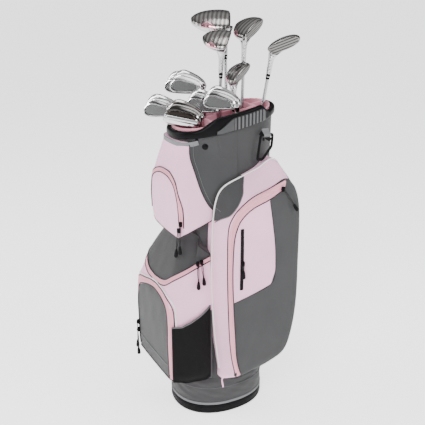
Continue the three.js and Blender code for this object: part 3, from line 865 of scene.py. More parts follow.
def putter_head(name, _, place):
    """A blade with a flange behind it."""
    section = [
        (11, -9), (11, 9), (7, 12), (2, 12), (-1, 4), (-9, 3.5), (-11, 1), (-11, -7), (-8, -9.5), (5, -10.5),
    ]
    widths = [(-14, 0.55), (-11, 0.86), (-5, 1), (30, 1.02), (60, 1), (76, 0.9), (81, 0.6)]
    rings = [[head_point(u, v * share + 4, w * share, PUTTER_LIE) for v, w in section]
             for u, share in spline(widths, 30)]
    flare = [(-24, 7, 7, 0, 0), (-10, 7.6, 7.4, 0, 0), (0, 8, 7.6, 1, 0), (6, 7, 7, 2, 0)]
    shape = merged(loft(rings), hosel(HOSEL_LENGTH["putter"], flare))
    finish_head(fused(f"{name}_head_blade", shape, 0.8, 4, 0.4), name, place, chrome)


def club_shaft(name, reach, place):
    """A stepped steel tube, and the black ferrule with a bright band at its top."""
    steps = [(0.0, 5.0), (7.0, 5.0)]
    low, high = 270, reach - 60
    count = 9
    for k in range(count):
        radius = mix(6.6, 4.6, k / (count - 1))
        steps += [(radius, mix(low, high, k / count) + 1.0), (radius, mix(low, high, (k + 1) / count) - 0.5)]
    start = reach - FERRULE_LENGTH
    steps += [(4.5, start), (4.5, reach - 1), (0.0, reach - 1)]
    sleeve = [(4.4, start), (5.2, start + 0.6), (6.1, reach - 0.5), (4.4, reach - 0.5)]
    band = [(5.0, reach - 8), (6.2, reach - 7.8), (6.2, reach - 6.2), (5.0, reach - 6)]
    for part, profile, finish, slot, nodes in (
        ("steel_shaft", steps, shaft_steel, "shaft_steel", [f"{name}_shaft"]),
        ("ferrule", sleeve, black_plastic, "shaft_steel", ()),
        ("ferrule_band", band, chrome, "chrome", ()),
    ):
        shape = moved(lathe(profile, loop=not nodes), place)
        new_piece(f"{name}_{part}", shape, finish, name, nodes)


def club_grip(name, place):
    length, butt, mouth = GRIP["length"], GRIP["butt"], GRIP["mouth"]
    outer = [(0.0, 0.0), (butt - 2.4, 0.0), (butt - 0.6, 0.9), (butt, 3.0)]
    outer += [(mix(butt, mouth, share), mix(3, length, share)) for share in np.linspace(0.1, 1, 10)]
    inner = [(GRIP["bore"], length + 0.4), (GRIP["bore"], GRIP["cap"]), (0.0, GRIP["cap"])]
    new_piece(f"{name}_rubber_grip", moved(lathe(outer + inner), place), grip_rubber, name,
              [f"{name}_grip"])


def make_club(name):
    kind, toe, sizes = CLUBS[name]
    axis, butt, reach = club_axis(name)
    place = club_matrix(axis, butt, toe)
    head_place = place @ Matrix.Translation((0, 0, reach + HOSEL_LENGTH[kind] + 0.35))
    head = {"wood": wood_head, "iron": iron_head, "putter": putter_head}[kind]
    head(name, sizes, head_place)
    club_shaft(name, reach, place)
    club_grip(name, place)


for club in CLUBS:
    make_club(club)

# ---- the bag's own shapes ----
RIM_HEIGHT = 842.0
BODY_LOW = {"z": 118.0, "half_x": 112.0, "half_y": 132.0, "centre": 0.0}
BODY_HIGH = {"z": RIM_HEIGHT, "half_x": 106.0, "half_y": 144.0, "centre": 14.0}
BODY_EXPONENT = 2.2
COLLAR_SLOPE = 0.175
COLLAR = {"half_x": 110.0, "half_y": 150.0, "centre": 15.0, "exponent": 2.3}
RIB_PITCH = 11.2
BOOT = {"half_x": 117, "half_y": 137}
SHELL = 3
CUFF = {"half_x": 116.4, "half_y": 136.4, "wall": 4}


def oval(half_x, half_y, centre, height, exponent=BODY_EXPONENT, count=144):
    """A rounded oval ring. Height is a number or a function of x and y."""
    ring = []
    for i in range(count):
        angle = 2 * math.pi * i / count
        x = half_x * power(math.cos(angle), exponent)
        y = centre + half_y * power(math.sin(angle), exponent)
        ring.append(vec(x, y, height(x, y) if callable(height) else height))
    return ring


def body_at(z):
    """Half width, half depth and centre of the body at a height."""
    share = max(0.0, (z - BODY_LOW["z"]) / (BODY_HIGH["z"] - BODY_LOW["z"]))
    return [mix(BODY_LOW[key], BODY_HIGH[key], share) for key in ("half_x", "half_y", "centre")]


def onto_body(point, offset):
    """The point moved level, straight from the body's axis, to lie the offset outside the body."""
    x, y, z = point
    half_x, half_y, centre = body_at(z)
    reach = abs(x / half_x) ** BODY_EXPONENT + abs((y - centre) / half_y) ** BODY_EXPONENT
    share = reach ** (-1 / BODY_EXPONENT)
    share *= 1 + offset / (share * math.hypot(x, y - centre))
    return vec(x * share, centre + (y - centre) * share, z)


def collar_oval(inset, height, count=144):
    half_x, half_y = COLLAR["half_x"] - inset, COLLAR["half_y"] - inset
    return oval(half_x, half_y, COLLAR["centre"], height, COLLAR["exponent"], count)


def collar_low(_, y):
    """The sloping line where the collar meets the body."""
    return RIM_HEIGHT + COLLAR_SLOPE * y


def collar_top(x, y):
    arch = smooth(x, 40, 85) * smooth(y, -100, -38) * (1 - smooth(y, 78, 116))
    return collar_low(x, y) + 19 + 25 * arch


def folds(angle, z):
    """Soft wrinkles in stretched cloth, from -1 to 1."""
    waves = ((3, 0.021, 0.5), (5, 0.043, 2.1), (9, -0.031, 4.0), (14, 0.06, 1.2))
    return sum(math.sin(turns * angle + rise * z + start) for turns, rise, start in waves) / len(waves)


def make_barrel():
    rings = []
    for z in (6.4, *np.linspace(30, 800, 40)):
        ring = oval(*body_at(z), z)
        rings.append([onto_body(p, 0.35 * folds(math.atan2(p[1], p[0]), z)) for p in ring])
    under_collar = lambda x, y: collar_low(x, y) - 0.35
    half_x, half_y, centre = body_at(RIM_HEIGHT)
    for inset in (0, SHELL):
        rings.append(oval(half_x - inset, half_y - inset, centre, under_collar))
    for z in (780, 118, 11):
        half_x, half_y, centre = body_at(z)
        rings.append(oval(half_x - SHELL, half_y - SHELL, centre, z))
    return new_piece("barrel_fabric", loft(rings), grey_fabric, "bag", ["barrel_shell"])


def make_boot():
    profile = [(7, 0), (3.5, 0.8), (1, 3), (0, 7), (0, 24), (0.6, 27.5), (2.2, 29.6), (4.6, 30), (4.6, 6)]
    rings = [oval(BOOT["half_x"] - inset, BOOT["half_y"] - inset, 0, z) for inset, z in profile]
    new_piece("base_boot_moulding", loft(rings), black_rubber, "bag", ["base_boot"])
    for z in (9.0, 21.5):
        rib = tube(oval(BOOT["half_x"] - 0.3, BOOT["half_y"] - 0.3, 0, z), 0.9, 8, closed=True, ups=(0, 0, 1))
        new_piece(f"base_boot_rib_{int(z)}", rib, black_plastic, "bag")


def make_cuff():
    heights = np.linspace(30.4, 117.6, 30)
    half_x, half_y, wall = CUFF["half_x"], CUFF["half_y"], CUFF["wall"]
    rings = []
    for z in heights:
        inset = 0.4 + 3.2 * smooth(z, 104, 118)
        loose = 1.5 * smooth(z, 38, 55) * (1 - smooth(z, 100, 116))
        swell = lambda p: 1 + loose * folds(math.atan2(p[1], p[0]), 5 * z) / 120 * vec(1, 1, 0)
        rings.append([p * swell(p) for p in oval(half_x - inset, half_y - inset, 0, z)])
    rings += [oval(half_x - wall, half_y - wall, 0, z) for z in heights[::-1]]
    cloth = loft(rings, loop=True)
    cuff = new_piece("base_cuff_cloth", cloth, grey_fabric, "bag", ["base_cuff"])
    band = [(0, 31), (1.2, 31.6), (1.2, 38.4), (0, 39)]
    rings = [oval(half_x + out, half_y + out, 0, z) for out, z in band]
    new_piece("base_piping", loft(rings, loop=True), grey_webbing, "bag")
    seam = tube(oval(half_x + 0.2, half_y + 0.2, 0, 87), 0.8, 8, closed=True, ups=(0, 0, 1))
    new_piece("cuff_seam", seam, grey_binding, "bag")
    return cuff


def make_collar():
    """The moulded ring, as a section of (inset, up from the low line) and (inset, up from the top) points."""
    up_outside = [(1.6, 0.4), (0.4, 2), (0, 5)]
    over_top = [(0, -7), (0.8, -3), (2.4, -0.8), (4.4, 0), (8, 0), (10.2, -0.9), (11.4, -3), (12, -7)]
    rings = [collar_oval(inset, lambda x, y: collar_low(x, y) + up, 240) for inset, up in up_outside]
    rings += [collar_oval(inset, lambda x, y: collar_top(x, y) + up, 240) for inset, up in over_top]
    rings.append(collar_oval(12, lambda x, y: collar_low(x, y) + 0.4, 240))
    shape = loft(rings, loop=True)
    new_piece("collar_moulding", shape, black_plastic, "bag", ["collar_ring"])


def collar_side(y):
    share = abs((y - COLLAR["centre"]) / COLLAR["half_y"]) ** COLLAR["exponent"]
    return COLLAR["half_x"] * (1 - share) ** (1 / COLLAR["exponent"])


def make_collar_grip():
    """The grey pad under the arch: smooth in front, ribbed behind."""
    section = [(0, 0), (0.55, 0), (0.9, 0.05), (1, 0.14), (1, 0.5), (1, 0.86), (0.9, 0.95), (0.55, 1), (0, 1)]
    rings, rib_field = [], []
    for y in np.linspace(-50, 96, 180):
        x = collar_side(y) + 0.6
        low = collar_low(x, y) + 2
        high = mix(low + 6, collar_top(x, y) - 8, smooth(y, -60, 0))
        rib = (0.5 + 0.5 * math.cos(2 * math.pi * (y + 4) / RIB_PITCH)) ** 0.6 * smooth(y, -8, -2)
        end = smooth(y, -50, -40) * (1 - smooth(y, 90, 96))
        proud = (2.2 + 2.6 * smooth(y, -50, -30) + 2.0 * rib) * mix(0.3, 1, end)
        rings.append([vec(x + proud * out, y, mix(low, high, up)) for out, up in section])
        rib_field += [max(rib, 0.6 * (1 - smooth(y, -8, -2))) * (out > 0.8) for out, _ in section]
    new_piece("collar_grip_pad", loft(rings), collar_rubber, "bag", ["collar_grip"],
              fields={"rib": rib_field + [0, 0]})


def make_dividers():
    """Padded walls: the frame's grid, rounded over and slightly swollen, with a lining round them."""
    source = bpy.data.objects["divider_grid"]
    mesh = source.data.copy()
    mesh.transform(source.matrix_world)
    grid = (list(mesh_points(mesh)), [tuple(face.vertices) for face in mesh.polygons])
    top = lambda x, y: collar_low(x, y) + 23
    low = lambda x, y: collar_low(x, y) - 15
    corners = ((13.4, low), (13.4, top), (17.4, top), (17.4, low))
    lining = loft([collar_oval(inset, height) for inset, height in corners], loop=True)
    piece = fused("divider_padding", merged(grid, lining), 1.7, 4, 0.35)
    placed(piece, lining_fabric, "bag", ["divider_grid"], 60)


# ---- front pockets ----
# Plans of the front pockets: (height, half width behind, half width in front, front face, corner radius).
UPPER_PLANS = [
    (540, 110, 98, -132, 30), (562, 110, 104, -150, 24), (585, 112, 107, -154, 20), (640, 112, 107, -156, 18),
    (690, 111.5, 105.5, -155, 20), (712, 111, 101, -151, 24), (740, 110.5, 94, -146, 28),
    (768, 109.5, 87, -141, 34), (804, 107.5, 78, -136, 44), (842, 106.5, 74, -133, 50),
]
LOWER_PLANS = [
    (110, 118, 116, -198, 12), (150, 118.5, 117, -199, 12), (190, 119.5, 118, -201, 12),
    (300, 120, 119, -203, 12), (386, 120, 118, -201, 16), (430, 119, 112, -189, 34),
    (478, 116, 110, -169, 36), (516, 112.5, 99, -152, 44), (548, 110.5, 80, -138, 46),
]
UPPER_ROWS = 70
LOWER_ROWS = 90
PLAN_COUNT = 150


def plan_curve(plan, back, crown):
    """A pocket's plan from its back edge on the right, round the front, to its back edge on the left."""
    _, back_half, face_half, front, radius = plan
    right = [(back_half, back), (mix(back_half, face_half, 0.5), mix(back, front, 0.45))]
    flat = face_half - radius
    for step in range(10):
        angle = math.pi / 2 * step / 9
        right.append((flat + radius * math.cos(angle), front + radius - radius * math.sin(angle)))
    right += [(flat * 0.6, front - crown * 0.7), (0, front - crown)]
    left = [(-x, y) for x, y in right[-2::-1]]
    return resample(np.array(right + left), PLAN_COUNT)


def pocket_grid(plans, back, crown, low, high, rows):
    """Points of the pocket's outer skin between two edges, each a height that depends on (x, y)."""
    plans = np.array(plans, float)
    heights = np.linspace(plans[0, 0], plans[-1, 0], 90)
    between_plans = [[np.interp(z, plans[:, 0], plans[:, k]) for k in range(5)] for z in heights]
    table = np.array([plan_curve(plan, back, crown) for plan in between_plans])
    for _ in range(3):
        table[1:-1] = (table[:-2] + 2 * table[1:-1] + table[2:]) / 4
    grid = np.empty((rows, PLAN_COUNT, 3))
    for i in range(PLAN_COUNT):
        across = math.sin(math.pi * i / (PLAN_COUNT - 1))
        x, y = table[45, i]
        for r, share in enumerate(np.linspace(0, 1, rows)):
            z = mix(low(x, y), high(x, y), share)
            x_there, y_there = (np.interp(z, heights, table[:, i, k]) for k in (0, 1))
            slack = 1 + 0.006 * folds(0.03 * i, z) * math.sin(math.pi * share) * across
            grid[r, i] = (x_there * slack, y_there * slack, z)
    return grid


def pocket_skin(name, grid, field, nodes):
    """A pocket between a grid of points and the body. Where the grid runs into the body, it lies on it."""
    inner = np.array([[onto_body(p, 0.1) for p in row] for row in grid])
    for r, row in enumerate(grid):
        for i, p in enumerate(row):
            if np.hypot(*(p - inner[r, i])[:2]) < 0.6 or p[1] > inner[r, i, 1] + 0.2 and p[1] < -40:
                grid[r, i] = onto_body(p, 0.7)
    shape = between(grid, inner)
    fields = {"panel": field(np.array(shape[0]))}
    piece = new_piece(name, shape, panels, "bag", nodes, 50, fields)
    return piece


PANEL_EDGE = [
    (-108, 850), (-112, 817), (-117, 778), (-111, 744), (-100, 697), (-82, 657), (-67, 638), (-50, 600),
]
LID_EDGE = spline([(-10, 430), (60, 439), (110, 464), (185, 494), (245, 516)], 60).T
BALL_ARCH = [
    (-105, 168), (-106, 253), (-104, 330), (-92, 368), (-58, 385), (-4, 398), (53, 395), (93, 377),
    (106, 333), (107, 253), (107, 162),
]


def upper_field(points):
    return -side_of(points[:, 1:], PANEL_EDGE[::-1])


def above_lid_edge(points):
    """How far points of the lower pockets are above the edge of the cooler's lid."""
    x, y, z = points.T
    return z - np.interp(np.abs(x) + y + 190, *LID_EDGE)


def lower_field(points):
    x, y, z = points.T
    face = [(-105, 100), *BALL_ARCH, (107, 100)]
    arch = np.where(y < -185, inside_of(points[:, [0, 2]], face), -20.0)
    behind_net = np.minimum.reduce([y + 100, 350 - z, x - 90])
    return np.maximum.reduce([above_lid_edge(points), arch, behind_net])


def make_front_pockets():
    upper_low = lambda x, y: 555 + 27 * smooth(abs(x), 50, 116) + 0.37 * (y + 141)
    upper_high = lambda x, y: collar_low(x, y) - 0.8
    lower_low = lambda x, y: 125 - 0.235 * (y + 54)
    lower_high = lambda x, y: 512 + 0.55 * max(-75 - y, 0)
    upper = pocket_grid(UPPER_PLANS, 6, 2, upper_low, upper_high, UPPER_ROWS)
    lower = pocket_grid(LOWER_PLANS, -76, 1.5, lower_low, lower_high, LOWER_ROWS)
    return (pocket_skin("upper_pocket_skin", upper, upper_field, ["upper_pocket"]),
            pocket_skin("lower_pockets_skin", lower, lower_field, ["cooler_pocket", "ball_pocket"]))


# ---- side pockets ----
POCKET_SEAM = [
    (-44, 124), (20, 130), (80, 150), (128, 196), (150, 260), (156, 350), (158, 480), (154, 620), (134, 716),
    (110, 758), (64, 736), (10, 718), (-41, 698), (-61, 664), (-70, 598), (-73, 500), (-73, 400), (-66, 285),
    (-58, 219), (-50, 160),
]
POCKET_FACE = [
    (-24, 152), (30, 162), (86, 177), (130, 200), (152, 260), (164, 350), (165, 480), (163, 620), (146, 686),
    (117, 712), (65, 692), (20, 677), (-15, 655), (-38, 632), (-52, 596), (-54, 500), (-52, 400), (-47, 290),
    (-40, 220), (-30, 172),
]
FACE_SEAM = [(68, 662), (80, 580), (87, 520), (89, 460), (76, 421), (10, 400), (-38, 387)]
PINK_FACE = [(-60, 380), *FACE_SEAM[::-1], (66, 720), (-15, 690), (-60, 640)]
LEAF_EDGE = [
    (122, 19, 719), (140, 7, 701), (155, -2, 682), (166, -23, 656), (164, -44, 634), (144, -60, 621),
    (126, -70, 608),
]
FACE_X = 174.6
FACE_DOME = 3.0
FACE_MIDDLE = (50.0, 430.0)
# How a side pocket's rings go from its seam, 0, to the edge of its face, 1, by how far out they stand.
GUSSET_STEPS = [
    (112, 0), (118, 0), (124, 0.1), (132, 0.26), (140, 0.43), (148, 0.6), (156, 0.74), (164, 0.87),
    (169, 0.94), (172.4, 0.985),
]
# Then from the edge of the face to its middle.
FACE_STEPS = (0.004, 0.016, 0.04, 0.08, 0.14, 0.22, 0.31, 0.41, 0.52, 0.63, 0.74, 0.84, 0.93, 0.98)


def apparel_field(points):
    x, y, z = points.T
    gusset = np.maximum(y - 128, np.minimum(185 - z, y + 6))
    leaf_outline = [(y, z) for _, y, z in LEAF_EDGE] + [(-90, 600), (-90, 700), (19, 760)]
    leaf = inside_of(points[:, 1:], leaf_outline)
    face = -inside_of(points[:, 1:], PINK_FACE)
    return np.where(np.abs(x) > 171.5, face, np.maximum(gusset, leaf))


def make_apparel_pocket(name, side):
    """Rings from the body out to the seam, over the puffed gusset, and across the slightly domed face."""
    seam = spline(POCKET_SEAM, 150, closed=True)
    edge = spline(POCKET_FACE, 150, closed=True)
    middle = np.array(FACE_MIDDLE)
    rings = [[vec(side * x, min(y, rear), z) for y, z in seam] for x, rear in ((58, 122), (84, 140))]
    for x, share in GUSSET_STEPS:
        ring = mix(seam, edge, share)
        out = ring - middle
        out /= np.linalg.norm(out, axis=1)[:, None]
        puff = 3.0 * math.sin(math.pi * share)
        rings.append([vec(side * x, y, z) for y, z in ring + out * puff])
    for share in FACE_STEPS:
        x = FACE_X + 2.4 * min(share / 0.03, 1) + FACE_DOME * smooth(share, 0, 0.6)
        slack = 0.7 * min(share * 9, 1)
        ring = mix(edge, middle, share)
        rings.append([vec(side * (x + slack * folds(y / 60, 1.3 * z)), y, z) for y, z in ring])
    points, faces = loft(rings)
    fields = {"panel": apparel_field(np.array(points))}
    piece = new_piece(f"{name}_skin", (points, faces), panels, "bag", [name], 50, fields)
    return piece


# The net's lower and upper edges, as depths and heights.
NET_LOW = ((-196, -152, -94, -80), (157, 141, 135, 143))
NET_HIGH = ((-196, -168, -143, -118, -92, -80), (326, 322, 330, 340, 357, 366))
NET = {"x": 120.9, "front": -195.6, "rear": -80.4, "swell": 8.6, "ripple": 0.6}


def make_mesh_pocket():
    """A net that swells from its hems, with a binding along its open top."""
    rows, count = 30, 40
    outer = np.empty((rows, count, 3))
    for i, y in enumerate(np.linspace(NET["front"], NET["rear"], count)):
        across = math.sin(math.pi * i / (count - 1))
        for r, share in enumerate(np.linspace(0, 1, rows)):
            swell = NET["swell"] * across ** 0.5 * smooth(share, 0, 0.14) * (1 - 0.25 * share)
            ripple = NET["ripple"] * math.sin(0.16 * y + 6 * share) * across
            height = mix(np.interp(y, *NET_LOW), np.interp(y, *NET_HIGH), share)
            outer[r, i] = (NET["x"] + swell + ripple, y, height)
    net = between(outer, outer - vec(1.0, 0, 0))
    new_piece("mesh_pocket_net", net, black_mesh, "bag", ["mesh_pocket"], 60)
    binding = swept(outer[-1] - vec(0.5, 0, 0), tape(5, 1.6), (0, 0, 1))
    new_piece("mesh_pocket_binding", binding, grey_binding, "bag")
    for name, edge in (("front", outer[:, 0]), ("rear", outer[:, -1]), ("low", outer[0])):
        new_piece(f"mesh_pocket_hem_{name}", tube(edge, 1.5, 10), black_webbing, "bag")


barrel = make_barrel()
make_boot()
cuff = make_cuff()
make_collar()
make_collar_grip()
make_dividers()
upper_pocket, lower_pockets = make_front_pockets()
right_pocket = make_apparel_pocket("apparel_pocket_right", 1)
left_pocket = make_apparel_pocket("apparel_pocket_left", -1)
make_mesh_pocket()

# ---- seams, zips and piping ----
FACE_ZIP_OUTER = [
    (172, y, z) for y, z in (
        (117, 712), (65, 692), (20, 677), (-15, 655), (-38, 632), (-52, 596), (-54, 500), (-52, 400),
        (-47, 290), (-40, 220), (-30, 172), (-25, 156))
]
FACE_ZIP_INNER = [
    (177, 111, 688), (177, 66, 665), (177, 21, 650), (177, -6, 633), (177, -25, 611), (178, -38, 570),
    (178, -42, 490), (178, -40, 400), (177, -33, 290), (177, -28, 220), (177, -19, 176), (176, -13, 160),
]
UPPER_ZIP_OUTER = [
    (-106, 597), (-105, 660), (-96, 699), (-67, 719), (-28, 730), (27, 729), (76, 702), (101, 655),
    (102, 597),
]
UPPER_ZIP_INNER = [
    (-92, 600), (-91, 660), (-82, 693), (-62, 708), (-25, 717), (25, 714), (70, 690), (87, 645), (89, 600),
]
BALL_ZIP_OUTER = [
    (-119, -186, 168), (-119.5, -187, 253), (-118, -188, 345), (-104, -192, 388), (-60, -196, 402),
    (-4, -193, 413), (53, -193, 411), (104, -190, 392), (118, -188, 345), (119.5, -187, 253),
    (119, -186, 162),
]
# Across a zip: how far from its outer line to its inner one, and how far it stands out. The teeth are at 0.5.
ZIP_SECTION = (
    (0, 0.3), (0.08, 0.9), (0.3, 1.1), (0.46, 1.5), (0.5, 0.7), (0.54, 1.5), (0.7, 1.1), (0.92, 0.9),
    (1, 0.3),
)

ground = Ground(upper_pocket, lower_pockets, barrel, cuff, right_pocket, left_pocket)


def hugged(line, lift=0.0):
    """A line moved to the nearest place on the bag, with the normals there."""
    places, ups = [], []
    for p in line:
        hit, normal, _, _ = ground.tree.find_nearest(Vector(p))
        if normal.dot(Vector(p) - Vector((0, 0, p[2]))) < 0 and abs(normal.z) < 0.7:
            normal = -normal
        places.append(np.array(hit + normal * lift))
        ups.append(np.array(normal))
    return np.array(places), np.array(ups)


def relaxed(line):
    line = np.array(line)
    for _ in range(4):
        line[1:-1] = (line[:-2] + 2 * line[1:-1] + line[2:]) / 4
    return line


def piping(name, line, radius, finish, sink=0.35):
    """A round cord sewn along a line on the bag."""
    line, ups = hugged(line, radius * (1 - sink))
    new_piece(name, tube(relaxed(line), radius, 10, ups=relaxed(ups)), finish, "bag")


def zip_band(name, outer, inner):
    """A zip between two lines: two tapes that meet over the teeth, and a bound seam at each side."""
    top, low = [], []
    for share, lift in ZIP_SECTION:
        line, ups = (relaxed(points) for points in hugged(mix(outer, inner, share)))
        top.append(line + ups * lift)
        low.append(line - ups * 0.6)
    new_piece(f"{name}_tape", between(np.array(top), np.array(low)), pink_zip, "bag", sharp=60)
    for side, line in (("outer", outer), ("inner", inner)):
        piping(f"{name}_{side}_seam", line, 1.5, dark_seam)


def laid_tape(name, line, width, height, lift, finish):
    """A flat tape sewn along a line on the bag."""
    line, ups = hugged(line, lift)
    new_piece(name, swept(line, tape(width, height), ups), finish, "bag")


def level_line(grid, drop):
    """Where the lower pockets' skin passes the lid's edge, or a drop below it, in each column."""
    line = []
    for column in grid.transpose(1, 0, 2):
        above = above_lid_edge(column) + drop
        r = int(np.argmax(above > 0))
        share = -above[r - 1] / (above[r] - above[r - 1])
        line.append(mix(column[r - 1], column[r], share))
    return np.array(line)


def outer_grid(piece, rows):
    """The points of a pocket's outer skin, in the rows that it was made with."""
    return mesh_points(piece.data)[:rows * PLAN_COUNT].reshape(rows, PLAN_COUNT, 3)


def side_seams(side, mirror):
    """The seams that both sides share. Mirror is 1 on the right and -1 on the left."""
    turn = vec(mirror, 1, 1)

    def sewn(*seams):
        for name, line, radius, finish, slot in seams:
            piping(f"{name}_{side}", np.array(line) * turn, radius, finish)

    panel = PANEL_EDGE[1:-1]
    inset = ground.from_right([(y + 9, z + 2) for y, z in panel], 60)
    sewn(("panel_seam", ground.from_right(panel, 60), 1.4, dark_seam, "pink_fabric"),
         ("panel_stitch", inset, 0.7, grey_binding, "grey_fabric"))
    zip_band(f"apparel_zip_{side}", spline(FACE_ZIP_OUTER, 150) * turn, spline(FACE_ZIP_INNER, 150) * turn)
    front = [vec(118.5, y, z) for y, z in spline([*POCKET_SEAM[:7:-1]], 140)]
    rear = [vec(172.5, y, z) for y, z in spline([*POCKET_FACE[1:9], (128, 704)], 110)]
    sewn(("apparel_piping", front, 2.1, white_piping, "pink_fabric"),
         ("apparel_face_seam", ground.from_right(FACE_SEAM, 90), 0.9, dark_seam, "pink_fabric"),
         ("apparel_rear_seam", rear, 1.0, grey_binding, "grey_fabric"),
         ("leaf_binding", spline(LEAF_EDGE, 60), 1.3, grey_binding, "grey_fabric"))
    valuables = [vec(180, y, z) * turn for y, z in spline([(-15, 597), (-15.5, 510), (-16, 423)], 50)]
    laid_tape(f"valuables_zip_{side}", valuables, 10, 1.2, 0.3, black_webbing)
    laid_tape(f"valuables_teeth_{side}", valuables, 3, 1.0, 1.2, black_plastic)


def front_seams():
    zip_band("upper_zip", ground.from_front(UPPER_ZIP_OUTER, 130), ground.from_front(UPPER_ZIP_INNER, 130))
    rim = spline(BALL_ZIP_OUTER, 150)
    ball_inner = ground.from_front(BALL_ARCH, 150)
    zip_band("ball_zip", rim, ball_inner)
    piping("ball_piping", rim + (rim - ball_inner) * 0.28, 1.9, white_piping)
    low_line = ground.from_front([(-103, 200), (105, 200)], 60)
    piping("ball_low_piping", low_line, 1.2, grey_webbing)
    upper = outer_grid(upper_pocket, UPPER_ROWS)
    lower = outer_grid(lower_pockets, LOWER_ROWS)
    zip_band("cooler_zip", level_line(lower, 0), level_line(lower, 14))
    for name, line in (("upper_low", upper[0]), ("lower_low", lower[0]), ("lower_top", lower[-1])):
        piping(f"{name}_edge", line, 1.4, dark_seam, sink=0.5)
    front = upper[-1][upper[-1][:, 1] < -91] - vec(0, 0, 5.8)
    ups = (front - vec(0, 14, 0)) * vec(1, 1, 0)
    band = swept(front * vec(1.004, 1.004, 1), tape(12, 1.2), ups)
    new_piece("collar_band", band, band_fabric, "bag")


side_seams("right", 1)
side_seams("left", -1)
front_seams()


# ---- zip pulls ----
TOGGLE = [
    (0, 0), (2.0, 0), (2.9, -1.5), (2.6, -3), (3.9, -5), (3.5, -7), (4.6, -9), (4.1, -11), (5.1, -13),
    (4.6, -15), (5.3, -17.5), (5.0, -21), (3.8, -23.4), (0, -24),
]
SLIDER = {"proud": 7.0, "half_width": 4.4, "half_height": 7, "edge": 1.6}


def soft_box(half_x, half_y, half_z, edge):
    """A box with rounded edges about the origin, as a stack of rounded rings along Z."""
    rise = [(half_z, edge), (half_z - edge * 0.4, edge * 0.3), (half_z - edge, 0)]
    steps = [(-z, inset) for z, inset in rise] + rise[::-1]
    return loft([oval(half_x - inset, half_y - inset, 0, z, 5, 28) for z, inset in steps])


def pull_shapes(cord_length, swing):
    """A slider with its bail, a doubled cord, and the ribbed toggle that hangs from it."""
    out = SLIDER["proud"]
    box = soft_box(out / 2, SLIDER["half_width"], SLIDER["half_height"], SLIDER["edge"])
    bail = tube([vec(out + x, 0, z) for x, z in ((-1, 5.5), (1.3, 3), (1.3, -3), (-1, -5.5))], 1.0, 8)
    lean = Matrix.Rotation(math.radians(swing), 4, "X")
    strands = []
    for side in (-1, 1):
        line = spline([(out - 0.5, side * 0.4, 0), (out - 1.2, side * 2.0, -cord_length * 0.45),
                       (out + 0.5, side * 0.8, -cord_length - 2)], 24)
        strands.append(moved(tube(line, 0.95, 8), lean))
    toggle = moved(lathe(TOGGLE, 20), lean @ Matrix.Translation((out + 0.5, 0, -cord_length)))
    return merged(moved(box, Matrix.Translation((out / 2, 0, 0))), bail), merged(*strands), toggle


def zip_pull(name, turn, *pulls):
    """One or two pulls on a zip, each as (place, length of its cord, swing)."""
    for label, (place, cord_length, swing) in zip("ab", pulls):
        stand = Matrix.Translation(place) @ Matrix.Rotation(math.radians(turn), 4, "Z")
        nodes = [name] if label == "a" else ()
        parts = (("slider", black_plastic), ("cord", black_cord), ("toggle", black_rubber))
        for (part, finish), shape in zip(parts, pull_shapes(cord_length, swing)):
            new_piece(f"{name}_{part}_{label}", moved(shape, stand), finish, name, nodes)


zip_pull("upper_zip_pull", -60, ((97, -152.5, 608), 60, 0), ((93, -156, 590), 52, -6))
zip_pull("cooler_zip_pull", 0, ((119, -118, 498), 50, 0), ((118, -106, 500), 44, 5))
zip_pull("ball_zip_pull", -90, ((-104, -203.5, 240), 60, 0), ((-104, -203.5, 214), 56, 5))
zip_pull("apparel_zip_pull", 0, ((179, 104, 690), 56, 35))
zip_pull("valuables_zip_pull", 0, ((179, -14, 500), 18, 0))


# ---- towel ring, strap, handle and small parts ----
STAY = {"x": 101.5, "y": 4, "middle": 413.35, "half_length": 400, "radius": 3, "lean": -0.4}
STRAP_X = 22.4
HANDLE_X = -40
STRAP_RINGS = (("upper", 690), ("lower", 270))


def towel_ring():
    corners = [(72, 823.5), (63, 759.5), (78, 757.5), (105.5, 791), (107.5, 823.5)]
    line = [vec(117, y, z) for y, z in rounded(corners, 5)]
    section = [(a * 3.9, b * 2.2) for a, b in circle(1.0, 12)]
    new_piece("towel_ring_frame", swept(line, section, (1, 0, 0), closed=True), black_plastic, "towel_ring",
              ["towel_ring"], 60)
    loop_path = [(106.5, 838), (111, 832), (120.6, 824), (118, 818.2), (113, 821), (108, 827)]
    loop = [vec(x, 90, z) for x, z in spline(loop_path, 40)]
    webbing_shape = swept(loop, tape(20, 1.2), (0.4, 0, 1))
    new_piece("towel_ring_webbing", webbing_shape, grey_webbing, "bag")
    strap = spline([(108.5, 74, 829), (110, 84, 822), (110, 95, 814), (108.5, 106, 806)], 30)
    new_piece("side_strap", swept(strap, tape(11, 1.8), (1, 0, 0)), black_webbing, "bag")


def rounded(corners, radius):
    """A closed outline with each corner cut by a small arc."""
    line = []
    corners = np.array(corners, float)
    for before, corner, after in zip(np.roll(corners, 1, axis=0), corners, np.roll(corners, -1, axis=0)):
        start, end = (corner + (p - corner) / np.linalg.norm(p - corner) * radius for p in (before, after))
        line += [(1 - t) ** 2 * start + 2 * t * (1 - t) * corner + t * t * end for t in np.linspace(0, 1, 7)]
    return line


def round_snap(name, place, radius):
    (at,), (up,) = hugged([place])
    stand = Matrix.Translation(at) @ Vector(up).to_track_quat("Z", "Y").to_matrix().to_4x4()
    dome = [(0, -1), (1, -1), (1, 0.6), (0.85, 1.3), (0.6, 1.2), (0.5, 1.7), (0, 2)]
    shape = lathe([(radius * share, z) for share, z in dome], 28)
    new_piece(name, moved(shape, stand), black_plastic, "bag")


def pad_section(half_thick, half_wide):
    return [(half_thick * power(x, 4), half_wide * power(y, 4)) for x, y in circle(1.0, 24)]


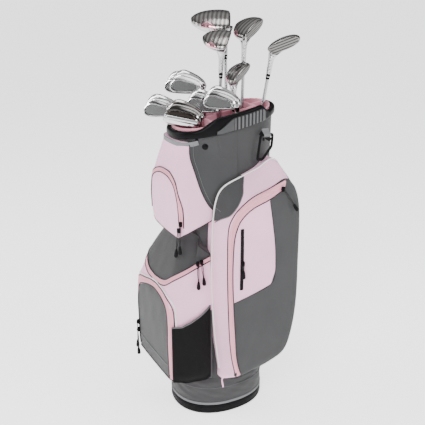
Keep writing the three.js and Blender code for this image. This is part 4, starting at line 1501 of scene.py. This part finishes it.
def shoulder_strap():
    """A padded strap that bows out behind the bag, with a binding along each edge."""
    path = [(168, 676), (186, 640), (204, 560), (209, 480), (204, 400), (186, 320), (168, 284)]
    line = [vec(0, y, z) for y, z in spline(path, 70)]
    section = lambda share: pad_section(3.4, mix(14, 22.6, smooth(math.sin(math.pi * share), 0.3, 0.7)))
    pad = new_piece("shoulder_strap_pad", swept(line, section, (1, 0, 0)), grey_fabric, "shoulder_strap",
                    ["shoulder_strap"], 60)
    for side, x in (("l", -STRAP_X), ("r", STRAP_X)):
        edge = tube([p + vec(x, 0, 0) for p in line[16:-16]], 1.6, 10)
        new_piece(f"shoulder_strap_binding_{side}", edge, pink_piping, "shoulder_strap")


def strap_ring(name, z):
    """A steel ring through a square patch on the back of the body."""
    back = body_at(z)[1] + body_at(z)[2]
    wire = [(-13, back), (-13, 168), (-9, 171), (9, 171), (13, 168), (13, back)]
    ring = tube(spline([vec(x, y, z) for x, y in wire], 50), 2.4, 12)
    new_piece(f"strap_ring_{name}_wire", ring, chrome, "bag", [f"strap_ring_{name}"])
    corners = ((-22, -20), (22, -20), (22, 20), (-22, 20))
    patch = loft([[vec(x, back + out, z + up) for x, up in corners] for out in (-2, 2.4)])
    new_piece(f"strap_patch_{name}", patch, black_webbing, "bag")


def rear_handle():
    path = [(140.5, 724), (168, 734), (176, 772), (170, 810), (140.5, 820)]
    line = [vec(HANDLE_X, y, z) for y, z in spline(path, 40)]
    new_piece("rear_handle_grip", swept(line, pad_section(4.9, 14.8), (1, 0, 0)), black_rubber, "bag",
              ["rear_handle"], 60)


def stay_rods():
    """Two steel rods inside the body that hold the collar up, leaning slightly inward."""
    for name, side in (("left", -1), ("right", 1)):
        lean = side * math.tan(math.radians(STAY["lean"]))
        line = [vec(side * STAY["x"] + lean * rise, STAY["y"], STAY["middle"] + rise)
                for rise in np.linspace(-STAY["half_length"], STAY["half_length"], 20)]
        rod = tube(line, STAY["radius"], 20)
        new_piece(f"stay_rod_{name}_steel", rod, shaft_steel, "bag", [f"stay_rod_{name}"])


def cuff_trim():
    """A pink strip sewn down the cuff from the side pocket, and a short black loop beside it."""
    strip = [vec(119, y, z) for y, z in spline([(-41, 128), (-39, 108), (-37, 88)], 30)]
    laid_tape("cuff_strip", strip, 4.5, 1.4, 0.2, pink_piping)
    laid_tape("cuff_loop", [vec(119, y, 112) for y in np.linspace(-2, 26, 24)], 7, 1.8, 0.3, black_webbing)


towel_ring()
round_snap("side_strap_knob", (108.5, 107, 805), 6)
round_snap("collar_rivet", (75, -94, 821), 4)
round_snap("side_snap", (88, -77, 804), 8)
cuff_trim()
shoulder_strap()
rear_handle()
for ring_name, ring_height in STRAP_RINGS:
    strap_ring(ring_name, ring_height)
stay_rods()
